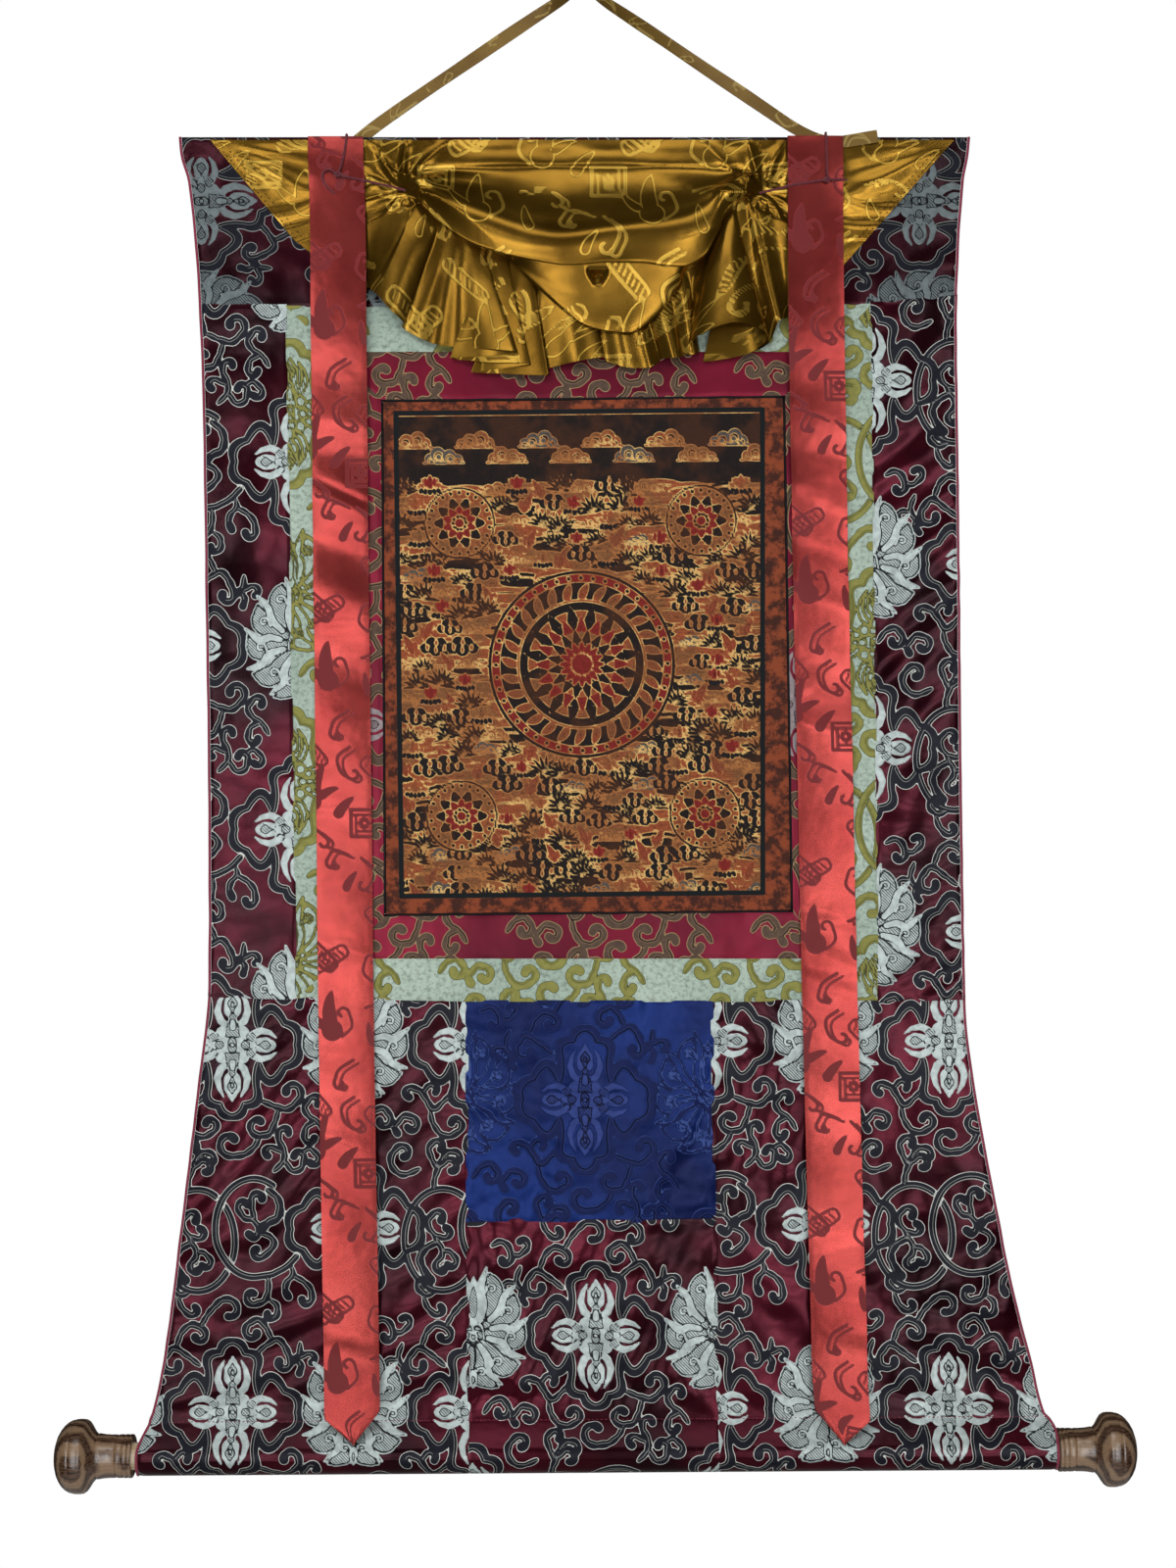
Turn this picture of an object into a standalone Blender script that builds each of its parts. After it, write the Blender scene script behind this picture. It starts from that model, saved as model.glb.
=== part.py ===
"""A thangka: a painted canvas in a mount of sewn brocade, hung by its tape, with a veil pulled up
in a swag over two ribbons' ties and a roller rod in a pocket along its lower edge.

Metres, +Z up, the front faces -Y. The origin is where the hanging tape bears on its nail. Tables
and sizes below are in millimetres, as (x, z) across and up, with "forward" towards the viewer."""
import math

import bmesh
import bpy
from mathutils import Matrix, Vector

MM = 0.001
GAP = 0.3                    # between pieces that touch

CLOTH = 1.4                  # brocade with its backing
CANVAS = 1.2
SATIN = 1.0                  # the veil
RIBBON = 1.2

TOP = -146.4                 # top edge of the mount
ROD_AXIS = -1431.2           # height of the rod's axis below the nail, at x = 0
ROD_TILT = 0.00685           # the rod hangs a little high on the right
ROD_RADIUS = 17.0
TENON_RADIUS = 13.0
CREASE_RISE = 32.0           # the pocket's stitch line above the rod's axis
PIPING = 2.6                 # diameter of the black piping and of the edge binding

# The mount's outer edges, binding included: z, x
LEFT_EDGE = ((-146, -394), (-166, -392), (-190, -385), (-300, -375), (-450, -369.5), (-970, -365),
             (-1072, -375), (-1225, -393.5), (-1331, -407.5), (-1390, -419.5), (-1426, -433.5),
             (-1470, -433.5))
RIGHT_EDGE = ((-146, 379), (-166, 377), (-188, 373), (-260, 368), (-330, 366), (-490, 367.5),
              (-970, 374), (-1025, 376.5), (-1113, 389.5), (-1257, 417.5), (-1346, 440),
              (-1390, 451), (-1413, 462.8), (-1470, 462.8))

# Nested frames round the painting, corner by corner from top left, clockwise: x, z
GREEN_OUTER = ((-290, -311), (283, -309), (290, -989), (-279.5, -987))
GREEN_INNER = ((-245, -356), (239, -356), (247, -948.5), (-237, -948.5))
PIPING_LINE = ((-195.2, -404), (197.1, -400), (204.8, -902), (-192.4, -906))

# Lower edge of the heading panel and upper edge of the skirt: x, z
HEADING_SEAM = ((-400, -311), (-290, -311), (283, -309), (380, -301))
SKIRT_SEAM = ((-380, -984), (-279.5, -987.3), (-112, -990.5), (127, -991), (290, -989.3), (380, -987))
PATCH_BOTTOM = -1204.0
SEAM_LEFT = ((-985, -112.5), (-1204, -112), (-1470, -109.5))          # z, x
SEAM_RIGHT = ((-985, 126.5), (-1204, 129.5), (-1470, 133.5))

# Ribbons, hanging from the top edge: z, x of the middle, forward
RIBBON_WIDTH = 54.0
RIBBON_LEFT = ((-146.6, -240.5, 3.3), (-166, -240, 6.6), (-184, -239, 8.2), (-200, -238.5, 6.6),
               (-216, -238, 9.0), (-260, -237, 12.5), (-320, -236.5, 14.0), (-400, -236, 9.0),
               (-560, -235, 4.2), (-760, -232.5, 3.6), (-969, -230.3, 4.4), (-1180, -227, 7.0),
               (-1300, -224.5, 9.5), (-1352, -223.7, 12.5), (-1390, -223, 15.5))
RIBBON_RIGHT = ((-146.6, 227.0, 5.6), (-166, 227, 7.5), (-184, 227, 8.2), (-200, 227, 6.6),
                (-216, 227, 9.0), (-260, 227, 12.5), (-320, 227.3, 14.0), (-400, 229, 9.0),
                (-560, 232, 4.2), (-760, 236.5, 3.6), (-969, 240.9, 4.4), (-1180, 246, 7.0),
                (-1300, 249.3, 9.5), (-1352, 250.4, 12.5), (-1390, 252.5, 15.5))
RIBBON_TIP = 28.0            # length of the pointed end

# The veil. Lower edge of the swag and of the lobe under it: x, z
SWAG = ((-201, -184), (-179, -197), (-165, -208), (-143, -230), (-113, -252), (-80, -265), (-43, -274),
        (-13, -278), (26, -275), (56, -275), (84, -278), (102, -277), (114, -270), (125, -258),
        (131, -242), (137, -229), (149, -217), (174, -203), (196, -190))
LOBE = ((-75, -265), (-43, -296), (-13, -323), (7, -334), (26, -338), (46, -339), (61, -332), (75, -321),
        (89, -303), (102, -279))
VEIL_TOP = -148.0
STRIP_BOTTOM = -182.0        # where the swag's slack starts below the flat strip
SWAG_FORWARD = 22.0          # how far the middle of the swag stands out past its ends

# Folds of the veil's two ends, from the outer edge inwards:
# x at the top edge, x and z at the tie, forward there, x and z at the hem, forward there
LEFT_END = ((-363, -281, -247, 2.6, -211, -312, 5.0),
            (-336, -260, -241, 2.8, -202, -320, 4.0),
            (-310, -240, -234, 3.2, -190, -325, 3.6),
            (-284, -220, -229, 4.2, -183, -321, 7.0),
            (-260, -201, -223, 5.6, -176, -318, 13.0),
            (-238, -182, -216, 7.5, -175, -327, 16.0),
            (-219, -163, -211, 9.5, -165, -340, 15.0))
RIGHT_END = ((209, 167, -210, 9.5, 198, -325, 9.0),
             (237, 188, -220, 6.0, 203, -321, 5.0),
             (269, 211, -230, 4.4, 209, -315, 7.0),
             (302, 235, -239, 3.4, 216, -309, 4.5),
             (336, 256, -245, 2.8, 224, -302, 5.5),
             (363, 278, -246, 2.6, 232, -298, 4.0))
# Folds of the ruffle, left to right along the cloth, so a folded-back layer steps back in x:
# x at the swag, x and z at the hem, forward there
RUFFLE = ((-151, -140, -351, 11.0), (-136, -129, -354, 7.0), (-119, -100, -356, 9.0),
          (-98, -65, -357, 14.0), (-91, -78, -361, 11.5), (-85, -126, -361, 9.5),
          (-79, -90, -367, 8.5), (-73, -54, -370, 9.8), (-67, -106, -374, 6.0),
          (-60, -71, -378, 6.5), (-52, -34, -380, 9.0), (-43, -43, -375, 4.2),
          (-33, -18, -371, 5.5), (-15, 4, -367, 9.0), (-2, 22, -363, 8.0),
          (8, 16, -366, 4.2), (23, 44, -373, 6.5), (38, 67, -372, 6.0),
          (49, 90, -367, 4.4), (58, 67, -364, 9.0), (67, 78, -365, 14.0),
          (75, 90, -363, 8.5), (82, 89, -360, 11.0), (91, 100, -361, 15.5),
          (99, 114, -358, 9.0), (105, 111, -363, 4.4), (111, 124, -368, 6.2),
          (117, 151, -363, 5.5), (122, 177, -355, 8.5), (127, 147, -350, 11.0),
          (131, 117, -350, 12.0), (134, 114, -344, 17.0), (138, 145, -330, 26.0),
          (143, 176, -335, 20.0), (148, 180, -331, 12.0), (155, 189, -329, 16.0))

# Ties: x, forward, z along each cord
TIE = 2.2
KNOT_RADIUS = 3.2
KNOT_LEFT = (-237.5, 12.6, -186.0)
KNOT_RIGHT = (238.0, 12.6, -191.0)
DROP_LEFT = ((-229.5, -2.2, -147.6), (-229.5, -1.9, -145.6), (-229.6, -0.6, -144.7),
             (-229.6, 3.0, -144.7), (-229.7, 5.2, -145.6), (-229.8, 6.3, -149), (-230.4, 7.6, -156),
             (-231.6, 9.2, -165), (-233.6, 10.4, -174), (-236.1, 12.0, -182.6))
DROP_RIGHT = ((237.3, -2.2, -147.8), (237.3, -2.0, -145.4), (237.3, -0.4, -144.1),
              (237.3, 2.6, -143.5), (237.3, 5.8, -143.6), (237.3, 7.9, -145.4), (237.3, 8.4, -149),
              (237.4, 9.0, -156),
              (237.6, 10.1, -167), (237.8, 10.9, -178), (237.9, 12.2, -187.4))
BOW_LEFT = ((-240.6, 12.4, -184.2), (-243.5, 11.6, -181.8), (-247.6, 10.9, -181.0), (-251.2, 10.7, -183.0),
            (-252.6, 10.4, -187.4), (-251.2, 9.9, -192.6), (-248.0, 9.6, -197.2), (-244.2, 9.5, -201.0),
            (-240.6, 9.6, -204.0))
WRAP_LEFT = ((-234.0, 12.2, -187.0), (-226.0, 10.7, -188.6), (-216.0, 9.7, -190.4), (-209.0, 8.9, -191.8),
             (-203.0, 7.8, -192.9), (-196.0, 7.4, -194.2), (-186.0, 8.0, -196.6), (-178.0, 9.3, -199.2),
             (-172.0, 11.2, -201.4))
WRAP_RIGHT = ((234.5, 12.2, -191.4), (226.0, 10.8, -192.4), (216.0, 9.8, -193.8), (206.0, 9.4, -195.4),
              (199.0, 9.0, -196.8), (192.0, 8.0, -198.4), (186.0, 8.2, -199.8), (178.0, 9.5, -202.0),
              (172.5, 11.2, -203.8))
BACK_RIGHT = ((241.5, 12.2, -190.8), (247.0, 10.6, -190.4), (252.0, 10.2, -190.2), (256.0, 9.2, -190.2),
              (257.5, 7.2, -190.4))

# The hanging tape: x, forward, z, degrees that its face is turned from the front
TAPE_WIDTH = 12.0
TAPE_THICK = 1.4
TAPE = ((-228, -1.8, -156, 0), (-216, -1.8, -146.5, 0), (-204, -1.8, -137, 0), (-191, -1.6, -127.5, 0),
        (-160, -1.2, -106, 4), (-120, -0.8, -79, 6), (-80, -0.4, -52, 9), (-45, -0.2, -28.5, 18),
        (-22, 0, -13.4, 42), (-9, 0, -4.6, 74), (-3.6, 0, -0.6, 90), (0, 0, 0.8, 90), (3.6, 0, -0.6, 90),
        (9, 0, -4.8, 80), (22, 0, -13.8, 62), (45, 0.3, -29, 46), (80, 0.8, -52.5, 34),
        (120, 1.5, -80, 22), (160, 2.6, -107, 10), (186, 3.5, -125, 3), (205, 3.9, -137.5, 0),
        (222, 3.9, -146.5, 0), (236, 3.9, -151.3, 0), (250, 3.9, -152.2, 0), (264, 3.9, -150.4, 0),
        (277, 3.8, -148.2, 0), (288, 3.8, -146.4, 0))

# A finial turned from the face that meets the cloth to its domed end: along, radius
FINIAL_LENGTH = 76.5
SOCKET_DEPTH = 20.0
FINIAL = ((0, 19.8), (0.8, 20.6), (3.2, 20.6), (3.8, 19.8), (4.4, 20.6), (8.2, 20.6), (8.8, 19.8),
          (9.4, 20.5), (15, 20.3), (15.6, 19.5), (16.2, 20.3), (26, 20.6), (34, 21.8), (34.8, 21.0),
          (35.6, 22.3), (39, 25.2), (42, 29.8), (44.5, 33.4), (48, 35.2), (55, 35.3), (57.4, 34.6),
          (62, 33.2), (67, 29.4), (71.5, 23.0), (74.8, 14.5), (76.3, 6.0))


def clear_scene():
    for item in list(bpy.data.objects):
        bpy.data.objects.remove(item, do_unlink=True)


def finish(name, colour, roughness, metallic=0.0):
    made = bpy.data.materials.new(name)
    made.use_nodes = True
    shader = made.node_tree.nodes["Principled BSDF"]
    shader.inputs["Base Color"].default_value = (*colour, 1.0)
    shader.inputs["Roughness"].default_value = roughness
    shader.inputs["Metallic"].default_value = metallic
    return made


def add_node(name, mesh, material):
    made = bpy.data.objects.new(name, mesh)
    mesh.materials.append(material)
    bpy.context.collection.objects.link(made)
    return made


def follow(table, at, column=1):
    """Reads a column of a table at a place in its first column, on a smooth curve through its rows."""
    falling = table[0][0] > table[-1][0]
    rows = table[::-1] if falling else table
    at = min(max(at, rows[0][0]), rows[-1][0])
    i = max(k for k in range(len(rows) - 1) if rows[k][0] <= at)
    a, b = rows[i], rows[i + 1]
    before = rows[max(i - 1, 0)]
    after = rows[min(i + 2, len(rows) - 1)]
    span = b[0] - a[0]
    rise = (b[column] - a[column]) / span
    into = (b[column] - before[column]) / (b[0] - before[0])
    out = (after[column] - a[column]) / (after[0] - a[0])
    if (a[column] - before[column]) * rise <= 0:
        into = 0.0 if i else rise
    if (after[column] - b[column]) * rise <= 0:
        out = 0.0 if after is not b else rise
    t = (at - a[0]) / span
    return ((2 * t ** 3 - 3 * t ** 2 + 1) * a[column] + (t ** 3 - 2 * t ** 2 + t) * span * into
            + (3 * t ** 2 - 2 * t ** 3) * b[column] + (t ** 3 - t ** 2) * span * out)


def straight(table, at):
    """Reads the second column of a table on straight lines between its rows."""
    rows = table if table[0][0] < table[-1][0] else table[::-1]
    at = min(max(at, rows[0][0]), rows[-1][0])
    for a, b in zip(rows, rows[1:]):
        if at <= b[0]:
            return a[1] + (b[1] - a[1]) * (at - a[0]) / (b[0] - a[0])


def ease(t):
    t = min(max(t, 0.0), 1.0)
    return t * t * (3 - 2 * t)


def rod_height(x):
    return ROD_AXIS + ROD_TILT * x


def swell(x, z):
    """How far the mount's cloth stands forward: nearly flat above, soft flutes in the flared skirt."""
    down = ease((z + 960) / (rod_height(x) + CREASE_RISE + 960))
    settle = 4 * down * (1 - down)
    flutes = 3.2 * math.sin(x / 62.0 + 0.9) + 1.6 * math.sin(x / 27.0)
    edge = 2.5 * ease((abs(x) - 300) / 80) * math.sin(z / 105.0)
    return settle * flutes + edge * ease((z - rod_height(x) - CREASE_RISE) / 120) * ease((-z - 160) / 80)


def sheet_mesh(name, grid):
    """An open sheet from rows of points (x, forward, z) in millimetres, its front towards -Y."""
    work = bmesh.new()
    rows = [[work.verts.new((x * MM, -forward * MM, z * MM)) for x, forward, z in row] for row in grid]
    for upper, lower in zip(rows, rows[1:]):
        for i in range(len(upper) - 1):
            work.faces.new((upper[i], lower[i], lower[i + 1], upper[i + 1]))
    mesh = bpy.data.meshes.new(name)
    work.to_mesh(mesh)
    work.free()
    return mesh


def add_sheet(name, grid, thickness, material):
    made = add_node(name, sheet_mesh(name, grid), material)
    solid = made.modifiers.new("thickness", "SOLIDIFY")
    solid.thickness = thickness * MM
    solid.offset = 0.0
    return made


def panel(left, right, top, bottom, columns, rows):
    """Rows of points between two side edges x(z) and two cross edges z(x)."""
    grid = []
    for j in range(rows + 1):
        row = []
        for i in range(columns + 1):
            s, t = i / columns, j / rows
            x = (left(top(0)) + right(top(0))) / 2
            for _ in range(3):
                z = top(x) + (bottom(x) - top(x)) * t
                x = left(z) + (right(z) - left(z)) * s
            row.append((x, swell(x, z), z))
        grid.append(row)
    return grid


def inset(corners, by):
    """A polygon, clockwise as seen from the front, with every side moved in by the same amount."""
    lines = []
    for (ax, az), (bx, bz) in zip(corners, corners[1:] + corners[:1]):
        along = Vector((bx - ax, bz - az)).normalized()
        inward = Vector((along.y, -along.x))
        lines.append((Vector((ax, az)) + inward * by, along))
    moved = []
    for (p, u), (q, v) in zip(lines[-1:] + lines[:-1], lines):
        cross = u.x * v.y - u.y * v.x
        step = ((q.x - p.x) * v.y - (q.y - p.y) * v.x) / cross
        moved.append(tuple(p + u * step))
    return moved


def quad_grid(corners, columns, rows):
    """Rows of points over a four-sided piece whose corners run clockwise from its top left."""
    a, b, c, d = corners
    grid = []
    for j in range(rows + 1):
        t = j / rows
        row = []
        for i in range(columns + 1):
            s = i / columns
            x = (a[0] * (1 - s) + b[0] * s) * (1 - t) + (d[0] * (1 - s) + c[0] * s) * t
            z = (a[1] * (1 - s) + b[1] * s) * (1 - t) + (d[1] * (1 - s) + c[1] * s) * t
            row.append((x, swell(x, z), z))
        grid.append(row)
    return grid


def add_frame(name, outer, inner, material):
    """Four mitred strips between two nested four-sided outlines."""
    strips = {"top": (outer[0], outer[1], inner[1], inner[0]),
              "right": (inner[1], outer[1], outer[2], inner[2]),
              "bottom": (inner[3], inner[2], outer[2], outer[3]),
              "left": (outer[0], inner[0], inner[3], outer[3])}
    for side, corners in strips.items():
        tall = side in ("left", "right")
        grid = quad_grid(inset(list(corners), GAP / 2), 2 if tall else 10, 12 if tall else 2)
        add_sheet(f"{name}_{side}", grid, CLOTH, material)


def pocket_section():
    """The pocket round the rod, from the stitch line down the front and up the back: rise above the
    rod's axis, forward."""
    radius = ROD_RADIUS + GAP + CLOTH / 2
    leave = math.acos(radius / CREASE_RISE)
    front = (radius * math.cos(leave), radius * math.sin(leave))
    section = [((CREASE_RISE + front[0]) / 2, front[1] / 2 - 0.6)]
    turns = 10
    swept = 2 * math.pi - 2 * leave
    clear = radius / math.cos(swept / turns / 2)
    for k in range(turns + 1):
        angle = leave + swept * k / turns
        section.append((clear * math.cos(angle), clear * math.sin(angle)))
    back = -CLOTH - GAP
    section.append(((CREASE_RISE + front[0]) / 2, (back - front[1]) / 2))
    section.append((CREASE_RISE, back))
    return section


def skirt_panel(left, right, top, columns, rows):
    """A panel that runs down to the stitch line and then round the rod."""
    def crease(x):
        return rod_height(x) + CREASE_RISE

    grid = panel(left, right, top, crease, columns, rows)
    for rise, forward in pocket_section():
        row = []
        for i in range(columns + 1):
            level = rod_height(right(-1430) if i > columns / 2 else left(-1430)) + rise
            x = left(level) + (right(level) - left(level)) * i / columns
            row.append((x, forward, rod_height(x) + rise))
        grid.append(row)
    return grid


def add_cord(name, route, radius, material, resolution=2, step=4.5):
    """A round cord on a smooth curve through its route's points (x, forward, z)."""
    points = [Vector((x, -forward, z)) for x, forward, z in route]
    ends = [2 * points[0] - points[1]] + points + [2 * points[-1] - points[-2]]
    smooth = []
    for a, b, c, d in zip(ends, ends[1:], ends[2:], ends[3:]):
        count = max(1, round((c - b).length / step))
        for k in range(count):
            t = k / count
            smooth.append(0.5 * (2 * b + (c - a) * t + (2 * a - 5 * b + 4 * c - d) * t ** 2
                                 + (3 * b - a - 3 * c + d) * t ** 3))
    smooth.append(points[-1])
    curve = bpy.data.curves.new(name, "CURVE")
    curve.dimensions = "3D"
    curve.bevel_depth = radius * MM
    curve.bevel_resolution = resolution
    curve.use_fill_caps = True
    line = curve.splines.new("POLY")
    line.points.add(len(smooth) - 1)
    for point, place in zip(line.points, smooth):
        point.co = (*(place * MM), 1.0)
    return add_node(name, curve, material)


def turned_mesh(name, profile, sides):
    """A closed solid turned about +X from rows (along, radius); both ends lie on the axis."""
    work = bmesh.new()
    first = work.verts.new((profile[0][0] * MM, 0, 0))
    last = work.verts.new((profile[-1][0] * MM, 0, 0))
    rings = []
    for along, radius in profile[1:-1]:
        turn = [2 * math.pi * k / sides for k in range(sides)]
        rings.append([work.verts.new((along * MM, radius * math.cos(a) * MM, radius * math.sin(a) * MM))
                      for a in turn])
    for k in range(sides):
        n = (k + 1) % sides
        work.faces.new((first, rings[0][n], rings[0][k]))
        for near, far in zip(rings, rings[1:]):
            work.faces.new((near[k], near[n], far[n], far[k]))
        work.faces.new((last, rings[-1][k], rings[-1][n]))
    bmesh.ops.recalc_face_normals(work, faces=work.faces)
    mesh = bpy.data.meshes.new(name)
    work.to_mesh(mesh)
    work.free()
    mesh.shade_smooth()
    mesh.set_sharp_from_angle(angle=math.radians(40))
    return mesh


def on_rod(item, along, flip=False):
    """Places a piece turned about +X on the rod's axis, its start at a distance along from x = 0."""
    item.location = (along * MM, 0, rod_height(along) * MM)
    item.rotation_euler = (0, -math.atan(ROD_TILT) + (math.pi if flip else 0), 0)


def add_panels(brocade, blue):
    """The seven cloth panels. Returns the outer edge points, left and right, for the bindings."""
    inner = PIPING + GAP

    def outer_left(z):
        return follow(LEFT_EDGE, z) + inner

    def outer_right(z):
        return follow(RIGHT_EDGE, z) - inner

    def green_left(z):
        (ax, az), (bx, bz) = GREEN_OUTER[0], GREEN_OUTER[3]
        return ax + (bx - ax) * (z - az) / (bz - az) - GAP / 2

    def green_right(z):
        (ax, az), (bx, bz) = GREEN_OUTER[1], GREEN_OUTER[2]
        return ax + (bx - ax) * (z - az) / (bz - az) + GAP / 2

    def heading_top(_x):
        return TOP

    def heading_foot(x):
        return straight(HEADING_SEAM, x) + GAP / 2

    def side_top(x):
        return straight(HEADING_SEAM, x) - GAP / 2

    def side_foot(x):
        return straight(SKIRT_SEAM, x) + GAP / 2

    def skirt_top(x):
        return straight(SKIRT_SEAM, x) - GAP / 2

    def patch_foot(_x):
        return PATCH_BOTTOM + GAP / 2

    def below_patch(_x):
        return PATCH_BOTTOM - GAP / 2

    def seam_left(side):
        return lambda z: follow(SEAM_LEFT, z) + side * GAP / 2

    def seam_right(side):
        return lambda z: follow(SEAM_RIGHT, z) + side * GAP / 2

    heading = panel(outer_left, outer_right, heading_top, heading_foot, 22, 6)
    side_left = panel(outer_left, green_left, side_top, side_foot, 3, 14)
    side_right = panel(green_right, outer_right, side_top, side_foot, 3, 14)
    skirt_left = skirt_panel(outer_left, seam_left(-1), skirt_top, 12, 12)
    skirt_centre = skirt_panel(seam_left(1), seam_right(-1), below_patch, 10, 6)
    skirt_right = skirt_panel(seam_right(1), outer_right, skirt_top, 12, 12)
    patch = panel(seam_left(1), seam_right(-1), skirt_top, patch_foot, 10, 6)
    for name, grid in {"heading_panel": heading, "side_panel_left": side_left,
                       "side_panel_right": side_right, "skirt_left": skirt_left,
                       "skirt_centre": skirt_centre, "skirt_right": skirt_right}.items():
        add_sheet(name, grid, CLOTH, brocade)
    add_sheet("door_patch", patch, CLOTH, blue)
    front_of_pocket = 12 + 1 + 6
    return {"left": [row[0] for row in heading + side_left + skirt_left[:front_of_pocket]],
            "right": [row[-1] for row in heading + side_right + skirt_right[:front_of_pocket]]}


def add_binding(name, edge, outward, material):
    """The corded binding sewn down one long edge of the mount and round the pocket's front."""
    beside = outward * (GAP + PIPING / 2)
    add_cord(name, [(x + beside, forward, z) for x, forward, z in edge], PIPING / 2, material,
             resolution=1, step=1000)


def add_painting(canvas, black):
    line = list(PIPING_LINE)
    add_sheet("painting", quad_grid(inset(line, PIPING / 2 + GAP), 6, 8), CANVAS, canvas)
    for side, (a, b) in {"top": (0, 1), "right": (1, 2), "bottom": (2, 3), "left": (3, 0)}.items():
        start, end = Vector(line[a]), Vector(line[b])
        along = (end - start).normalized() * (PIPING / 2 + GAP / 2)
        keep = along if side in ("left", "right") else -along
        start, end = start + keep, end - keep
        route = [(*start.lerp(end, k / 4), 0) for k in range(5)]
        route = [(x, swell(x, z), z) for x, z, _ in route]
        add_cord(f"piping_{side}", route, PIPING / 2, black, resolution=1, step=200)


def add_ribbon(name, middle, material):
    """One ribbon with a pointed end, from its middle line."""
    half = RIBBON_WIDTH / 2
    foot = middle[-1][0]
    levels = []
    for above, below in zip(middle, middle[1:]):
        parts = math.ceil((above[0] - below[0]) / 45)
        levels += [above[0] + (below[0] - above[0]) * k / parts for k in range(parts)]
    grid = []
    for z in levels + [foot]:
        x, forward = follow(middle, z), follow(middle, z, 2)
        grid.append([(x + half * s, forward + 0.5 * (1 - s * s), z) for s in (-1, -0.5, 0, 0.5, 1)])
    lean = 4.0 if middle[0][1] < 0 else -6.0
    for t in (0.5, 0.94):
        x, forward = follow(middle, foot) + 1.5 * t, follow(middle, foot, 2) + 2.5 * t
        grid.append([(x + half * s * (1 - t), forward, foot - RIBBON_TIP * t + lean * s * (1 - t))
                     for s in (-1, -0.5, 0, 0.5, 1)])
    grid[-3] = [(x, f, z + lean * (x - grid[-3][2][0]) / half) for x, f, z in grid[-3]]
    add_sheet(name, grid, RIBBON, material)


def end_column(fold):
    """One column of the veil's end, from the sewn edge past the tie to the hem."""
    top_x, waist_x, waist_z, waist_forward, hem_x, hem_z, hem_forward = fold
    column = []
    for part in (0, 0.28, 0.52, 0.70, 0.82, 0.90, 0.95, 1.0):
        column.append((top_x + (waist_x - top_x) * part,
                       1.9 + (waist_forward - 1.9) * part ** 1.8,
                       VEIL_TOP + (waist_z - VEIL_TOP) * part))
    for part in (0.06, 0.14, 0.30, 0.52, 0.76, 1.0):
        column.append((waist_x + (hem_x - waist_x) * part,
                       waist_forward + (hem_forward - waist_forward) * part,
                       waist_z + (hem_z - waist_z) * part))
    return column


def swag_column(fold, first, last):
    """One column of the veil's middle: down the strip and the swag, back under it, round the lobe
    where there is one, back again and down the ruffle."""
    root_x, hem_x, hem_z, hem_forward = fold
    share = (root_x - first) / (last - first)
    top_x = -202 + 394 * share
    stand = max(math.sin(math.pi * share), 0.0) ** 0.6
    edge = follow(SWAG, root_x)
    inside = LOBE[0][0] < root_x < LOBE[-1][0]
    lobe = min(follow(LOBE, root_x), edge) if inside else edge
    drop = edge - lobe
    fall = STRIP_BOTTOM - edge
    low = 14 + SWAG_FORWARD * stand
    column = [(top_x, 1.9, VEIL_TOP),
              (top_x + (root_x - top_x) * 0.1, 2.6 + 4.4 * stand, (VEIL_TOP + STRIP_BOTTOM) / 2),
              (top_x + (root_x - top_x) * 0.3, 3.6 + 2.9 * stand, STRIP_BOTTOM),
              (top_x + (root_x - top_x) * 0.55, 7.5 + 9 * stand, STRIP_BOTTOM - 0.4 * fall),
              (top_x + (root_x - top_x) * 0.8, 11 + (SWAG_FORWARD - 1) * stand, STRIP_BOTTOM - 0.78 * fall),
              (root_x, low - 1, edge),
              (root_x, low - 4.5 - 3 * stand, edge + 5 + 4 * stand),
              (root_x, 10.2 + 9 * stand, edge + 4 - 0.5 * drop - (4 if drop > 1 else 0)),
              (root_x, 8.6 + 6 * stand, lobe + 1),
              (root_x, 6.6 + 0.4 * stand, edge + 6)]
    for part in (0.30, 0.52, 0.76, 1.0):
        column.append((root_x + (hem_x - root_x) * part,
                       6.6 + (hem_forward - 6.6) * part ** 0.8,
                       edge + 6 + (hem_z - edge - 6) * part))
    return column


def add_veil(material):
    first, last = RUFFLE[0][0] - 12, RUFFLE[-1][0] + 12
    columns = [end_column(fold) for fold in LEFT_END]
    columns += [swag_column(fold, first, last) for fold in RUFFLE]
    columns += [end_column(fold) for fold in RIGHT_END]
    grid = [list(row) for row in zip(*columns)]
    add_sheet("veil", grid, SATIN, material)


def add_ties(material):
    for side, place in {"left": KNOT_LEFT, "right": KNOT_RIGHT}.items():
        work = bmesh.new()
        bmesh.ops.create_uvsphere(work, u_segments=10, v_segments=7, radius=KNOT_RADIUS * MM)
        mesh = bpy.data.meshes.new(f"tie_knot_{side}")
        work.to_mesh(mesh)
        work.free()
        knot = add_node(f"tie_knot_{side}", mesh, material)
        knot.location = (place[0] * MM, -place[1] * MM, place[2] * MM)
    cords = {"tie_drop_left": DROP_LEFT, "tie_drop_right": DROP_RIGHT, "tie_bow_left": BOW_LEFT,
             "tie_wrap_left": WRAP_LEFT, "tie_wrap_right": WRAP_RIGHT, "tie_back_right": BACK_RIGHT}
    for name, route in cords.items():
        add_cord(name, route, TIE / 2, material)


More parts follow.
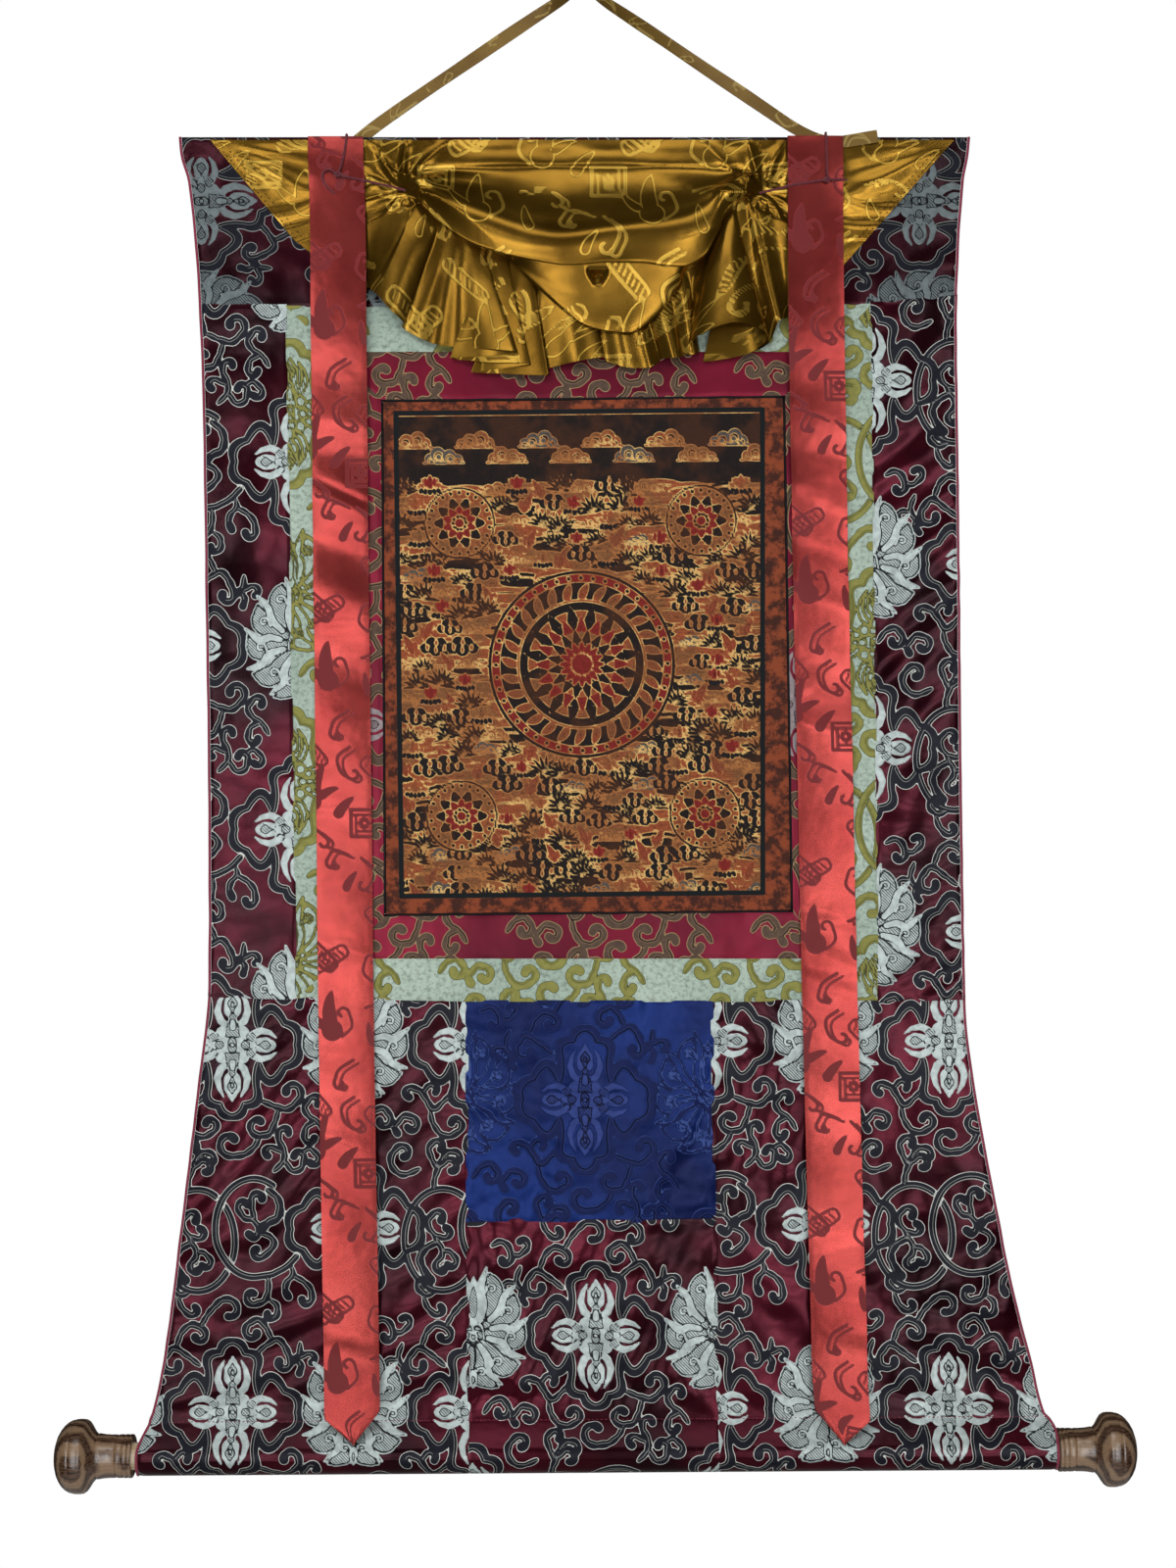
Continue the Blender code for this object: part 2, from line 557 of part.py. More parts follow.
def add_tape(material):
    """The flat tape, swept along its route with its face turning at the nail."""
    places = [Vector((x, -forward, z)) for x, forward, z, _ in TAPE]
    work = bmesh.new()
    rings = []
    for i, (place, (_x, _f, _z, turned)) in enumerate(zip(places, TAPE)):
        along = (places[min(i + 1, len(places) - 1)] - places[max(i - 1, 0)]).normalized()
        face = Vector((0, -1, 0))
        face = (face - along * face.dot(along)).normalized()
        face = Matrix.Rotation(math.radians(turned), 3, along) @ face
        across = along.cross(face)
        ring = []
        for u, v in ((-1, -1), (1, -1), (1, 1), (-1, 1)):
            corner = place + across * (u * TAPE_WIDTH / 2) + face * (v * TAPE_THICK / 2)
            ring.append(work.verts.new(corner * MM))
        rings.append(ring)
    for near, far in zip(rings, rings[1:]):
        for k in range(4):
            n = (k + 1) % 4
            work.faces.new((near[k], near[n], far[n], far[k]))
    work.faces.new(rings[0][::-1])
    work.faces.new(rings[-1])
    bmesh.ops.recalc_face_normals(work, faces=work.faces)
    mesh = bpy.data.meshes.new("hanging_tape")
    work.to_mesh(mesh)
    work.free()
    add_node("hanging_tape", mesh, material)


def add_rod(pale, dark):
    left_face, right_face = -438.0, 463.8
    into = SOCKET_DEPTH - GAP
    left_end, right_end = left_face - into, right_face + into
    left_body, right_body = -430.2, 459.4
    profile = [(left_end, 0), (left_end, TENON_RADIUS - 0.6), (left_end + 0.6, TENON_RADIUS),
               (left_body, TENON_RADIUS), (left_body, ROD_RADIUS), (right_body, ROD_RADIUS),
               (right_body, TENON_RADIUS), (right_end - 0.6, TENON_RADIUS),
               (right_end, TENON_RADIUS - 0.6), (right_end, 0)]
    rod = add_node("rod", turned_mesh("rod", profile, 24), pale)
    on_rod(rod, 0)
    socket = TENON_RADIUS + GAP
    outline = [(SOCKET_DEPTH, 0), (SOCKET_DEPTH, socket), (0, socket)]
    outline += list(FINIAL) + [(FINIAL_LENGTH, 0)]
    mesh = turned_mesh("finial", outline, 24)
    for name, face, flip in (("finial_left", left_face, True), ("finial_right", right_face, False)):
        made = bpy.data.objects.new(name, mesh)
        bpy.context.collection.objects.link(made)
        on_rod(made, face, flip)
    mesh.materials.append(dark)


clear_scene()
edges = add_panels(finish("brocade", (0.10, 0.012, 0.025), 0.45),
                   finish("blue_damask", (0.010, 0.025, 0.13), 0.5))
add_frame("band_green", GREEN_OUTER, GREEN_INNER, finish("green_brocade", (0.24, 0.31, 0.25), 0.55))
crimson_inner = inset(list(PIPING_LINE), -(PIPING / 2 + GAP / 2))
add_frame("band_crimson", GREEN_INNER, crimson_inner, finish("crimson_brocade", (0.18, 0.012, 0.06), 0.5))
add_painting(finish("painted_canvas", (0.22, 0.08, 0.035), 0.7), finish("black_piping", (0.01, 0.01, 0.012), 0.6))
binding = finish("crimson_binding", (0.30, 0.02, 0.06), 0.5)
add_binding("edge_binding_left", edges["left"], -1, binding)
add_binding("edge_binding_right", edges["right"], 1, binding)
add_veil(finish("gold_satin", (0.36, 0.22, 0.012), 0.35))
damask = finish("red_damask", (0.52, 0.06, 0.05), 0.4)
add_ribbon("ribbon_left", RIBBON_LEFT, damask)
add_ribbon("ribbon_right", RIBBON_RIGHT, damask)
add_ties(finish("maroon_cord", (0.14, 0.008, 0.03), 0.5))
add_tape(finish("gold_tape", (0.30, 0.20, 0.03), 0.5))
add_rod(finish("pale_wood", (0.62, 0.48, 0.30), 0.6), finish("dark_wood", (0.10, 0.055, 0.03), 0.4))
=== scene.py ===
"""A thangka: a painted canvas in a mount of sewn brocade, hung by its tape, with a satin veil pulled
up over two ribbons' ties and a roller rod in a pocket along the foot.

Tables and sizes are in millimetres on the mount's own frame: x across, z up from the nail, and
"forward" towards the viewer, which is -Y. The charts of the woven patterns count y downwards."""
import math

import bmesh
import bpy
import numpy as np
from mathutils import Matrix, Vector


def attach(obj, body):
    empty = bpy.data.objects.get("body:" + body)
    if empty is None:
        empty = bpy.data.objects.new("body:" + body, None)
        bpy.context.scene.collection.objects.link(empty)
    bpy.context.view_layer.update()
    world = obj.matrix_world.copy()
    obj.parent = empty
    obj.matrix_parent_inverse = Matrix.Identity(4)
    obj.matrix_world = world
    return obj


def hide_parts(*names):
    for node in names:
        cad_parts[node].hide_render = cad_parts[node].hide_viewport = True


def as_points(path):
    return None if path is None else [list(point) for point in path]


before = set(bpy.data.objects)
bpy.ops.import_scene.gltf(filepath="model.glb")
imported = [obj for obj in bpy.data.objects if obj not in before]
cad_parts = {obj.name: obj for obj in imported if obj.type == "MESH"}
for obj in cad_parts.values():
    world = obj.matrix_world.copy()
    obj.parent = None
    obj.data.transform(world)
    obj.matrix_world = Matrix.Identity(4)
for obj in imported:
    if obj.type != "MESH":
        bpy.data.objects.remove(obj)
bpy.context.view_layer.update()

# ----------------------------------------
# The painted canvas: sized cotton, painted in mineral colours and gold line, tacked behind its
# corded piping. The ornament here is a plain one: wheels, flowers, clouds, bushes, fire and hills.
# ----------------------------------------
MM = 0.001
# The piping's middle at its corners, clockwise from top left, and how thick it is
PIPING_LINE = ((-195.2, -404), (197.1, -400), (204.8, -902), (-192.4, -906))
PIPING = 2.6
ROD_HEIGHT, ROD_TILT = -1431.2, 0.00685    # the rod's middle below the nail, and its fall to the left
CREASE_RISE = 32.0           # the pocket's stitches above the rod's middle
FLARE_TOP = -960.0           # from here down the mount hangs free of its frame


def ease(t):
    t = np.clip(t, 0.0, 1.0)
    return t * t * (3 - 2 * t)


def crease_line(x):
    """The height of the pocket's stitches at places across the mount."""
    return ROD_HEIGHT + ROD_TILT * x + CREASE_RISE


def swell(x, z):
    """How far the mount's cloth stands forward of flat, in millimetres."""
    crease = crease_line(x)
    down = ease((z - FLARE_TOP) / (crease - FLARE_TOP))
    settle = 4 * down * (1 - down)
    flutes = 3.2 * np.sin(x / 62.0 + 0.9) + 1.6 * np.sin(x / 27.0)
    edge = 2.5 * ease((np.abs(x) - 300) / 80) * np.sin(z / 105.0)
    return settle * flutes + edge * ease((z - crease) / 120) * ease((-z - 160) / 80)


def facing_of(middle):
    """Which way a net of points faces at each of them, towards the viewer on the whole."""
    down, along = np.gradient(middle, axis=(0, 1))
    facing = np.cross(down, along)
    facing /= np.linalg.norm(facing, axis=2, keepdims=True)
    return facing * (-1.0 if facing[..., 1].mean() > 0 else 1.0)


def placed(name, data):
    made = bpy.data.objects.new(name, data)
    bpy.context.collection.objects.link(made)
    return made


def hand_over(made, material, slot, *nodes):
    """Gives a piece its material, the solids whose place it takes and its rigid body; its slot is not used.
    """
    made.data.materials.append(material)
    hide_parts(*nodes)
    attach(made, "root")


def woven_piece(name, x, forward, z, thickness, uv, marks, coarse=4, roll=0.35, sharp=50):
    """A closed sheet of cloth from the places of its middle layer, rows of points from the top
    down: a fine front, a coarser back and a rim. marks are numbers stored at each point."""
    def both_sides(values):
        values = np.broadcast_to(np.asarray(values, float), x.shape)
        return np.concatenate([values.reshape(-1), values[::coarse, ::coarse].reshape(-1)])

    rows, columns = x.shape[0] - 1, x.shape[1] - 1
    middle = np.stack([x, -forward, z], axis=2)
    facing = facing_of(middle)
    i, j = np.arange(rows + 1), np.arange(columns + 1)
    rim = np.minimum(np.minimum(i, rows - i)[:, None], np.minimum(j, columns - j)[None, :])
    half = thickness / 2 * np.where(rim == 0, roll, np.where(rim == 1, (1 + roll) / 2, 1.0))[..., None]
    front = (middle + facing * half).reshape(-1, 3)
    back = (middle - facing * half)[::coarse, ::coarse].reshape(-1, 3)
    first = len(front)
    at = np.arange(first).reshape(rows + 1, columns + 1)
    under = first + np.arange(len(back)).reshape(rows // coarse + 1, columns // coarse + 1)
    faces = np.stack([at[:-1, :-1], at[1:, :-1], at[1:, 1:], at[:-1, 1:]], axis=2).reshape(-1, 4).tolist()
    faces += np.stack([under[:-1, :-1], under[:-1, 1:], under[1:, 1:], under[1:, :-1]],
                      axis=2).reshape(-1, 4).tolist()
    for fine, plain, turned in ((at[0], under[0], True), (at[-1], under[-1], False),
                                (at[:, 0], under[:, 0], False), (at[:, -1], under[:, -1], True)):
        for k in range(len(plain) - 1):
            face = list(fine[k * coarse:(k + 1) * coarse + 1]) + [plain[k + 1], plain[k]]
            faces.append([int(v) for v in (face[::-1] if turned else face)])
    mesh = bpy.data.meshes.new(name)
    mesh.from_pydata((np.concatenate([front, back]) * MM).tolist(), [], faces)
    layer = mesh.uv_layers.new(name="cloth")
    corner = np.zeros(len(mesh.loops), int)
    mesh.loops.foreach_get("vertex_index", corner)
    layer.data.foreach_set("uv", np.stack([both_sides(m)[corner] * MM for m in uv], axis=1).reshape(-1))
    stored = {title: both_sides(values) for title, values in marks.items()}
    stored["reverse"] = np.arange(len(front) + len(back)) >= first
    for title, values in stored.items():
        mesh.attributes.new(title, "FLOAT", "POINT").data.foreach_set("value", values.astype(np.float32))
    mesh.shade_smooth()
    mesh.set_sharp_from_angle(angle=math.radians(sharp))
    return placed(name, mesh)


def colour(*seen):
    """A colour as the eye counts it, red, green and blue from 0 to 255, for a shader."""
    return tuple(c / 3294.6 if c <= 10 else ((c / 255 + 0.055) / 1.055) ** 2.4 for c in seen) + (1.0,)


class Finish:
    """A material and short ways to put nodes into it, or into a node group."""

    def __init__(self, name, tree=None, **fixed):
        self.shader = None
        if tree is None:
            self.material = bpy.data.materials.new(name)
            self.material.use_nodes = True
            tree = self.material.node_tree
            self.shader = tree.nodes["Principled BSDF"]
            for socket, value in fixed.items():
                self.shader.inputs[socket.replace("_", " ")].default_value = value
        self.tree = tree

    def add(self, kind, settings=(), **inputs):
        """A new node. Its inputs go by the names of their sockets, or by their numbers: i0, i1."""
        node = self.tree.nodes.new(kind)
        for key, value in dict(settings).items():
            setattr(node, key, value)
        for key, value in inputs.items():
            self.feed(node, key.replace("_", " "), value)
        return node

    def feed(self, node, key, value):
        socket = node.inputs[int(key[1:])] if key[0] == "i" and key[1:].isdigit() else node.inputs[key]
        if isinstance(value, bpy.types.NodeSocket):
            self.tree.links.new(value, socket)
        else:
            socket.default_value = value

    def number(self, title):
        return self.add("ShaderNodeAttribute", {"attribute_name": title}).outputs["Fac"]

    def math(self, operation, a, b=0.0, c=0.0):
        return self.add("ShaderNodeMath", {"operation": operation}, i0=a, i1=b, i2=c).outputs[0]

    def times(self, a, b):
        return self.math("MULTIPLY", a, b)

    def between(self, value, low, high, start=0.0, end=1.0):
        node = self.add("ShaderNodeMapRange", {"interpolation_type": "SMOOTHSTEP"}, Value=value,
                        From_Min=low, From_Max=high, To_Min=start, To_Max=end)
        return node.outputs["Result"]

    def stripe(self, value, a, b, c, d):
        """1 where a number lies from b to c, falling to nought at a and d."""
        return self.times(self.between(value, a, b), self.between(value, c, d, 1.0, 0.0))

    def mix(self, share, a, b):
        settings = {"data_type": "RGBA", "clamp_factor": True}
        return self.add("ShaderNodeMix", settings, i0=share, i6=a, i7=b).outputs[2]

    def noise(self, place, scale, detail=2.0, roughness=0.5):
        return self.add("ShaderNodeTexNoise", Vector=place, Scale=scale, Detail=detail,
                        Roughness=roughness).outputs["Fac"]

    def bump(self, height, distance, strength=1.0):
        return self.add("ShaderNodeBump", Height=height, Distance=distance,
                        Strength=strength).outputs["Normal"]

    def place(self):
        return self.add("ShaderNodeTexCoord").outputs["Object"]

    def cloth(self):
        return self.add("ShaderNodeUVMap", {"uv_map": "cloth"}).outputs["UV"]

    def shared(self, group, **inputs):
        node = self.tree.nodes.new("ShaderNodeGroup")
        node.node_tree = group
        for key, value in inputs.items():
            self.feed(node, key, value)
        return node.outputs

    def put(self, **inputs):
        """Feeds the shader, whose sockets' names have spaces, and gives the finished material."""
        for key, value in inputs.items():
            self.feed(self.shader, key.replace("_", " "), value)
        return self.material


def group_of(name, inputs, outputs):
    """An empty shader node group with number sockets, its inputs and its outputs."""
    tree = bpy.data.node_groups.new(name, "ShaderNodeTree")
    for title, value in inputs.items():
        kind = "NodeSocketVector" if value is None else "NodeSocketFloat"
        socket = tree.interface.new_socket(title, in_out="INPUT", socket_type=kind)
        if value is not None:
            socket.default_value = value
    for title in outputs:
        tree.interface.new_socket(title, in_out="OUTPUT", socket_type="NodeSocketFloat")
    start = tree.nodes.new("NodeGroupInput")
    end = tree.nodes.new("NodeGroupOutput")
    return Finish("", tree), start.outputs, end


# Threads crossing over and under each other: how high they stand, and how their tone varies
make, given, result = group_of("threads", {"Place": None, "Per Metre": 1800.0}, ("Height", "Tone"))
scaled = make.add("ShaderNodeVectorMath", {"operation": "SCALE"}, i0=given["Place"], Scale=given["Per Metre"])
parts = make.add("ShaderNodeSeparateXYZ", Vector=scaled.outputs[0]).outputs
warp = make.math("SINE", make.times(parts["X"], math.pi))
weft = make.math("SINE", make.times(parts["Y"], math.pi))
height = make.math("MULTIPLY_ADD", make.times(warp, weft), 0.5, 0.5)
slub = make.noise(given["Place"], 420.0, 2.0)
make.feed(result, "Height", height)
make.feed(result, "Tone", make.math("MULTIPLY_ADD", slub, 0.6, make.times(height, 0.4)))
threads = make.tree


# A chart is a sheet of numbers, one each "step" of the pattern, of how far each place lies from
# the drawn shapes: below nought inside them. It wraps round where the pattern repeats.
class Chart:
    def __init__(self, width, height, step, wraps=True):
        self.width, self.height, self.step, self.wraps = width, height, step, wraps
        self.columns, self.rows = round(width / step), round(height / step)
        self.x = (np.arange(self.columns) + 0.5) * step - width / 2
        self.y = (np.arange(self.rows) + 0.5) * step - height / 2
        self.sheets = {}

    def sheet(self, title):
        if title not in self.sheets:
            self.sheets[title] = np.full((self.rows, self.columns), 60.0, np.float32)
        return self.sheets[title]

    def strokes(self, path, half, reach, inner=0, plain=0):
        """Each place in the chart that a line touches, with how far it lies from the line's edge
        and from its inner edge (1 left, -1 right); the last points of a line may go without."""
        path = np.asarray(path, float)
        half = np.broadcast_to(np.asarray(half, float), len(path))
        shifts = (-1, 0, 1) if self.wraps else (0,)
        for across in shifts:
            for down in shifts:
                p = path + (across * self.width, down * self.height)
                low, high = p.min(0) - half.max() - reach, p.max(0) + half.max() + reach
                i = slice(*np.searchsorted(self.x, (low[0], high[0])))
                j = slice(*np.searchsorted(self.y, (low[1], high[1])))
                if i.start >= i.stop or j.start >= j.stop:
                    continue
                gx, gy = self.x[i][None, :], self.y[j][:, None]
                best = np.full((gy.size, gx.size), 60.0)
                lane = best.copy()
                for n, ((ax, ay), (bx, by), ra, rb) in enumerate(zip(p, p[1:], half, half[1:])):
                    dx, dy = bx - ax, by - ay
                    long = max(math.hypot(dx, dy), 1e-6)
                    t = np.clip(((gx - ax) * dx + (gy - ay) * dy) / long ** 2, 0, 1)
                    radius = ra + (rb - ra) * t
                    away = np.hypot(gx - ax - t * dx, gy - ay - t * dy) - radius
                    aside = radius + inner * (dx * (gy - ay) - dy * (gx - ax)) / long
                    lane = np.where(away < best, 60.0 if n > len(p) - 2 - plain else aside, lane)
                    best = np.minimum(best, away)
                yield (j, i), best, lane

    def draw(self, title, path, half, reach=9.0, inner=0, over=0.0, plain=0):
        """Draws a line of the given half width, one number or one for each point. inner is the
        side that the "lane" sheet is measured from, and over the bare margin that the line keeps
        where it passes over others."""
        field = self.sheet(title)
        for spot, best, lane in self.strokes(path, half, reach, inner, plain):
            if over:
                field[spot] = np.maximum(field[spot], over - best)
            if inner:
                self.sheet("lane")[spot] = np.where(best < field[spot], lane, self.sheet("lane")[spot])
            field[spot] = np.minimum(field[spot], best)

    def inlay(self, path, half, sign):
        """Draws a pale shape whose own outline stays where it lies on a shape of the other sign."""
        for spot, best, _lane in self.strokes(path, half, 9.0):
            leaf = self.sheet("leaf")[spot]
            beside = np.sign(leaf) * np.minimum(np.abs(leaf), np.maximum(best, 0.0))
            self.sheet("leaf")[spot] = np.where(best < 0, -sign * best, beside)
            self.sheet("pale")[spot] = np.minimum(self.sheet("pale")[spot], best)

    def read(self, title, x, y):
        """The chart's number at each place, with the four nearest averaged."""
        field = self.sheet(title)
        u = (x + self.width / 2) / self.step - 0.5
        v = (y + self.height / 2) / self.step - 0.5
        i, j = np.floor(u).astype(int), np.floor(v).astype(int)
        s, t = u - i, v - j
        if self.wraps:
            i0, i1, j0, j1 = i % self.columns, (i + 1) % self.columns, j % self.rows, (j + 1) % self.rows
        else:
            i0, i1 = np.clip(i, 0, self.columns - 1), np.clip(i + 1, 0, self.columns - 1)
            j0, j1 = np.clip(j, 0, self.rows - 1), np.clip(j + 1, 0, self.rows - 1)
        return ((field[j0, i0] * (1 - s) + field[j0, i1] * s) * (1 - t)
                + (field[j1, i0] * (1 - s) + field[j1, i1] * s) * t)


CANVAS = (392.0, 497.0)      # the painted sheet within its piping, width and height
picture = Chart(CANVAS[0] + 4, CANVAS[1] + 4, 0.8, wraps=False)
picture.sheets["leaf"] = np.full((picture.rows, picture.columns), 4.0, np.float32)
picture.sheets["tint"] = np.zeros((picture.rows, picture.columns), np.float32)
MIDDLE = (-4.0, 6.0)         # the painted field's own middle on the canvas


def dye(path, half, sign, tint=0.0):
    """Lays a shape on the picture: light for 1 and dark for -1, tint 1 for crimson, -1 for slate."""
    path = np.array(path, float)
    picture.inlay(path, half, sign)
    for spot, best, _lane in picture.strokes(path, half, 2.0):
        picture.sheet("tint")[spot] = np.where(best < 0.4, tint, picture.sheet("tint")[spot])


def dab(x, y, radius, sign, tint=0.0):
    dye([(x - 0.05, y), (x + 0.05, y)], radius, sign, tint)


def leaf_spine(x, y, angle, length, bend, t):
    """Points of a leaf's bent spine from its foot, at an angle counted clockwise from upwards."""
    turn = math.radians(angle)
    ahead = np.array([math.sin(turn), -math.cos(turn)])
    side = np.array([math.cos(turn), math.sin(turn)])
    return np.array([x, y]) + np.outer(t * length, ahead) + np.outer(bend * length * t * t, side)


def leaf(x, y, angle, length, width, sign, bend=0.0, tint=0.0):
    """A pointed leaf from its foot, at an angle counted clockwise from upwards."""
    t = np.linspace(0, 1, 7)
    half = width * np.sin(np.pi * (0.16 + 0.84 * t)) ** 0.8 + 0.15
    dye(leaf_spine(x, y, angle, length, bend, t), half, sign, tint)


def wheel(x, y, size, petals, rings):
    """A lotus seen from above, its petals in rings, light and dark by turns."""
    for ring_of in range(rings, 0, -1):
        reach, sign = size * ring_of / rings, 1 if ring_of % 2 else -1
        dab(x, y, reach * 0.9, sign)
        for k in range(petals):
            leaf(x, y, 360.0 * (k + 0.5 * (ring_of % 2)) / petals, reach, reach * 2.2 / petals + 0.5, -sign,
                 tint=1.0 if sign < 0 else 0.0)
    dab(x, y, size * 0.17, 1, 1.0)


def lotus_flower(x, y, size, tint=1.0):
    """A lotus from the side: outer petals laid back, an inner cup and a row of leaves under it."""
    for angle, length in ((-98, 0.9), (98, 0.9), (-74, 1.0), (74, 1.0), (-48, 1.05), (48, 1.05)):
        leaf(x, y, angle, size * length, size * 0.2, 1, 0.16 * np.sign(-angle))
    for angle, length in ((-26, 1.0), (26, 1.0), (0, 1.12)):
        leaf(x, y, angle, size * length, size * 0.23, 1, 0.0, tint=tint)
    for k in (-2, -1, 0, 1, 2):
        leaf(x + k * size * 0.3, y + size * 0.1 - abs(k) * size * 0.04, 180 - k * 14, size * 0.42,
             size * 0.17, -1, tint=-1.0)


def tuft(x, y, size, lean):
    """Long blades of grass, dark with a gold edge."""
    for aside in (-4.0, -3.0, -2.0, -1.0, 0.0, 1.0, 2.0, 3.0, 4.0):
        leaf(x, y, lean + aside * 150.0 / 9, size * (1 - 0.04 * abs(aside)), size * 0.055 + 0.4, -1,
             0.10 * aside)


def bush(x, y, size):
    """A clump of dark round leaves with light buds standing in it."""
    for dx, dy, r in ((-0.9, 0.1, 0.5), (0.9, 0.15, 0.5), (-0.35, -0.35, 0.55), (0.4, -0.3, 0.55),
                      (0, 0.25, 0.6)):
        dab(x + dx * size, y + dy * size, r * size, -1, -0.6)
    for dx, dy in ((-0.75, -0.05), (0.05, -0.45), (0.8, 0.0), (0.0, 0.2)):
        leaf(x + dx * size, y + (dy + 0.3) * size, 0, size * 0.55, size * 0.13, 1)


def cloud(x, y, size, flip, tint):
    """A bank of cloud heads, each with a smaller heart."""
    dye([(x - size * 1.5, y + 0.5 * size), (x + size * 1.5, y + 0.5 * size)], 0.1 * size, 1, tint)
    for dx, dy, r in ((-1.0, 0.2, 0.42), (1.05, 0.24, 0.38), (-0.45, -0.15, 0.55), (0.42, 0.0, 0.5)):
        dab(x + flip * dx * size, y + dy * size, r * size, 1, tint)
        dab(x + flip * (dx + 0.05) * size, y + (dy + 0.14) * size, r * size * 0.62, -1, tint)
        dab(x + flip * (dx + 0.08) * size, y + (dy + 0.2) * size, r * size * 0.36, 1, tint)


def hill(x, y, wide, sign):
    """A long low mound with contour lines, widest in its middle."""
    t = np.linspace(-1, 1, 9)
    for share, way in ((1.0, sign), (0.72, -sign), (0.60, sign)):
        dye(np.stack([x + wide * t, y + (1 - share) * wide * 0.3 + 0 * t], axis=1),
            np.maximum(share * wide * 0.34 * (1 - t * t) ** 0.5, 0.3), way)


def flame(x, y, size, lean):
    """Three tongues of fire from one foot."""
    for angle, length, bend in ((42, 0.7, -0.3), (-30, 0.6, 0.25), (8, 1.0, 0.35)):
        leaf(x, y, lean * angle, size * length, size * 0.17, 1, lean * bend, 0.5)


chance = np.random.default_rng(5)
mx, my = MIDDLE
field_w, field_h = 180.0, 228.0
dye([(mx - field_w, my - field_h + 22), (mx + field_w, my - field_h + 22)], 34.0, -1, -0.2)
for row, level in enumerate(np.arange(-field_h + 62, field_h + 8, 17.0)):
    for across in np.arange(-field_w + 18 * (row % 2), field_w + 18, 36.0):
        hill(mx + across + chance.uniform(-5, 5), my + level + chance.uniform(-2, 2), chance.uniform(20, 30),
             1 if chance.random() < 0.6 else -1)
    for k, across in enumerate(np.arange(-field_w + 8 + 11 * (row % 2), field_w, 22.0)):
        if math.hypot(across, level - 2) < 98 or math.hypot(abs(across) - 118, abs(level - 6) - 142) < 40:
            continue
        x, y = mx + across + chance.uniform(-4, 4), my + level - 5 + chance.uniform(-3, 3)
        kind = (row * 3 + k * 2 + int(chance.integers(0, 2))) % 7
        if kind in (0, 5):
            tuft(x, y + 8, chance.uniform(17, 23), chance.uniform(-18, 18))
        elif kind in (1, 4):
            bush(x, y, chance.uniform(9.0, 11.5))
        elif kind == 2:
            cloud(x, y, chance.uniform(8.0, 10.5), 1 if k % 2 else -1, -1.0 if row % 2 else 0.0)
        elif kind == 3:
            lotus_flower(x, y + 4, chance.uniform(11, 13), 1.0 if k % 3 else 0.0)
        else:
            flame(x, y + 9, chance.uniform(17, 22), 1 if k % 2 else -1)
for k, across in enumerate(np.arange(-field_w + 16, field_w, 31.0)):
    cloud(mx + across, my - field_h + 12 + 15 * (k % 2), 13.0, 1 if k % 2 else -1,
          -1.0 if k % 3 == 1 else 0.0)
for across in (-118, 118):
    for level in (-136, 148):
        dab(mx + across, my + level, 35, -1, -0.3)
        dab(mx + across, my + level, 32.5, 1)
        for k in range(22):
            turn = 2 * math.pi * k / 22
            dab(mx + across + 29.5 * math.sin(turn), my + level + 29.5 * math.cos(turn), 2.1, -1)
        wheel(mx + across, my + level, 26, 10, 3)
# The great flower in the middle, in rings of beads, flames and petals
dab(mx, my + 2, 91, -1, -0.4)
dab(mx, my + 2, 87.5, 1, 1.0)
for k in range(44):
    turn = 2 * math.pi * k / 44
    dab(mx + 83.5 * math.sin(turn), my + 2 - 83.5 * math.cos(turn), 2.2, -1)
dab(mx, my + 2, 79.5, -1, -0.4)
for k in range(28):
    turn = 2 * math.pi * k / 28
    leaf(mx + 63 * math.sin(turn), my + 2 - 63 * math.cos(turn), 360.0 * k / 28 + 10, 16, 4.2, 1, 0.3, 0.4)
dab(mx, my + 2, 63, 1)
dab(mx, my + 2, 60.5, -1)
wheel(mx, my + 2, 58, 16, 5)


def four_sided(corners, columns, rows, inset=0.0):
    """Columns and rows of points over a piece whose four corners run clockwise from top left."""
    a, b, c, d = (np.array(p, float) for p in corners)
    middle = (a + b + c + d) / 4
    a, b, c, d = (p + np.sign(middle - p) * inset for p in (a, b, c, d))
    s, t = np.meshgrid(np.linspace(0, 1, columns + 1), np.linspace(0, 1, rows + 1))
    x = (a[0] * (1 - s) + b[0] * s) * (1 - t) + (d[0] * (1 - s) + c[0] * s) * t
    z = (a[1] * (1 - s) + b[1] * s) * (1 - t) + (d[1] * (1 - s) + c[1] * s) * t
    return x, z, s, t


x, z, s, t = four_sided(PIPING_LINE, 228, 288, PIPING / 2 - 0.6)
px, py = (s - 0.5) * CANVAS[0], (t - 0.5) * CANVAS[1]
sag = 0.5 * np.sin(x / 60) * np.sin(z / 90)
# The painted field's edges on the canvas, within its bare border
left_line, right_line = -186.0 + 3.0 * t, 178.0 - 7.0 * t
inside = np.minimum(np.minimum(px - left_line, right_line - px), np.minimum(py + 239.5, 233.5 - py))
painting = woven_piece("painted_canvas", x, swell(x, z) + sag, z, 1.2, (x, z),
                       {"leaf": picture.read("leaf", px, py), "tint": picture.read("tint", px, py),
                        "border": inside})

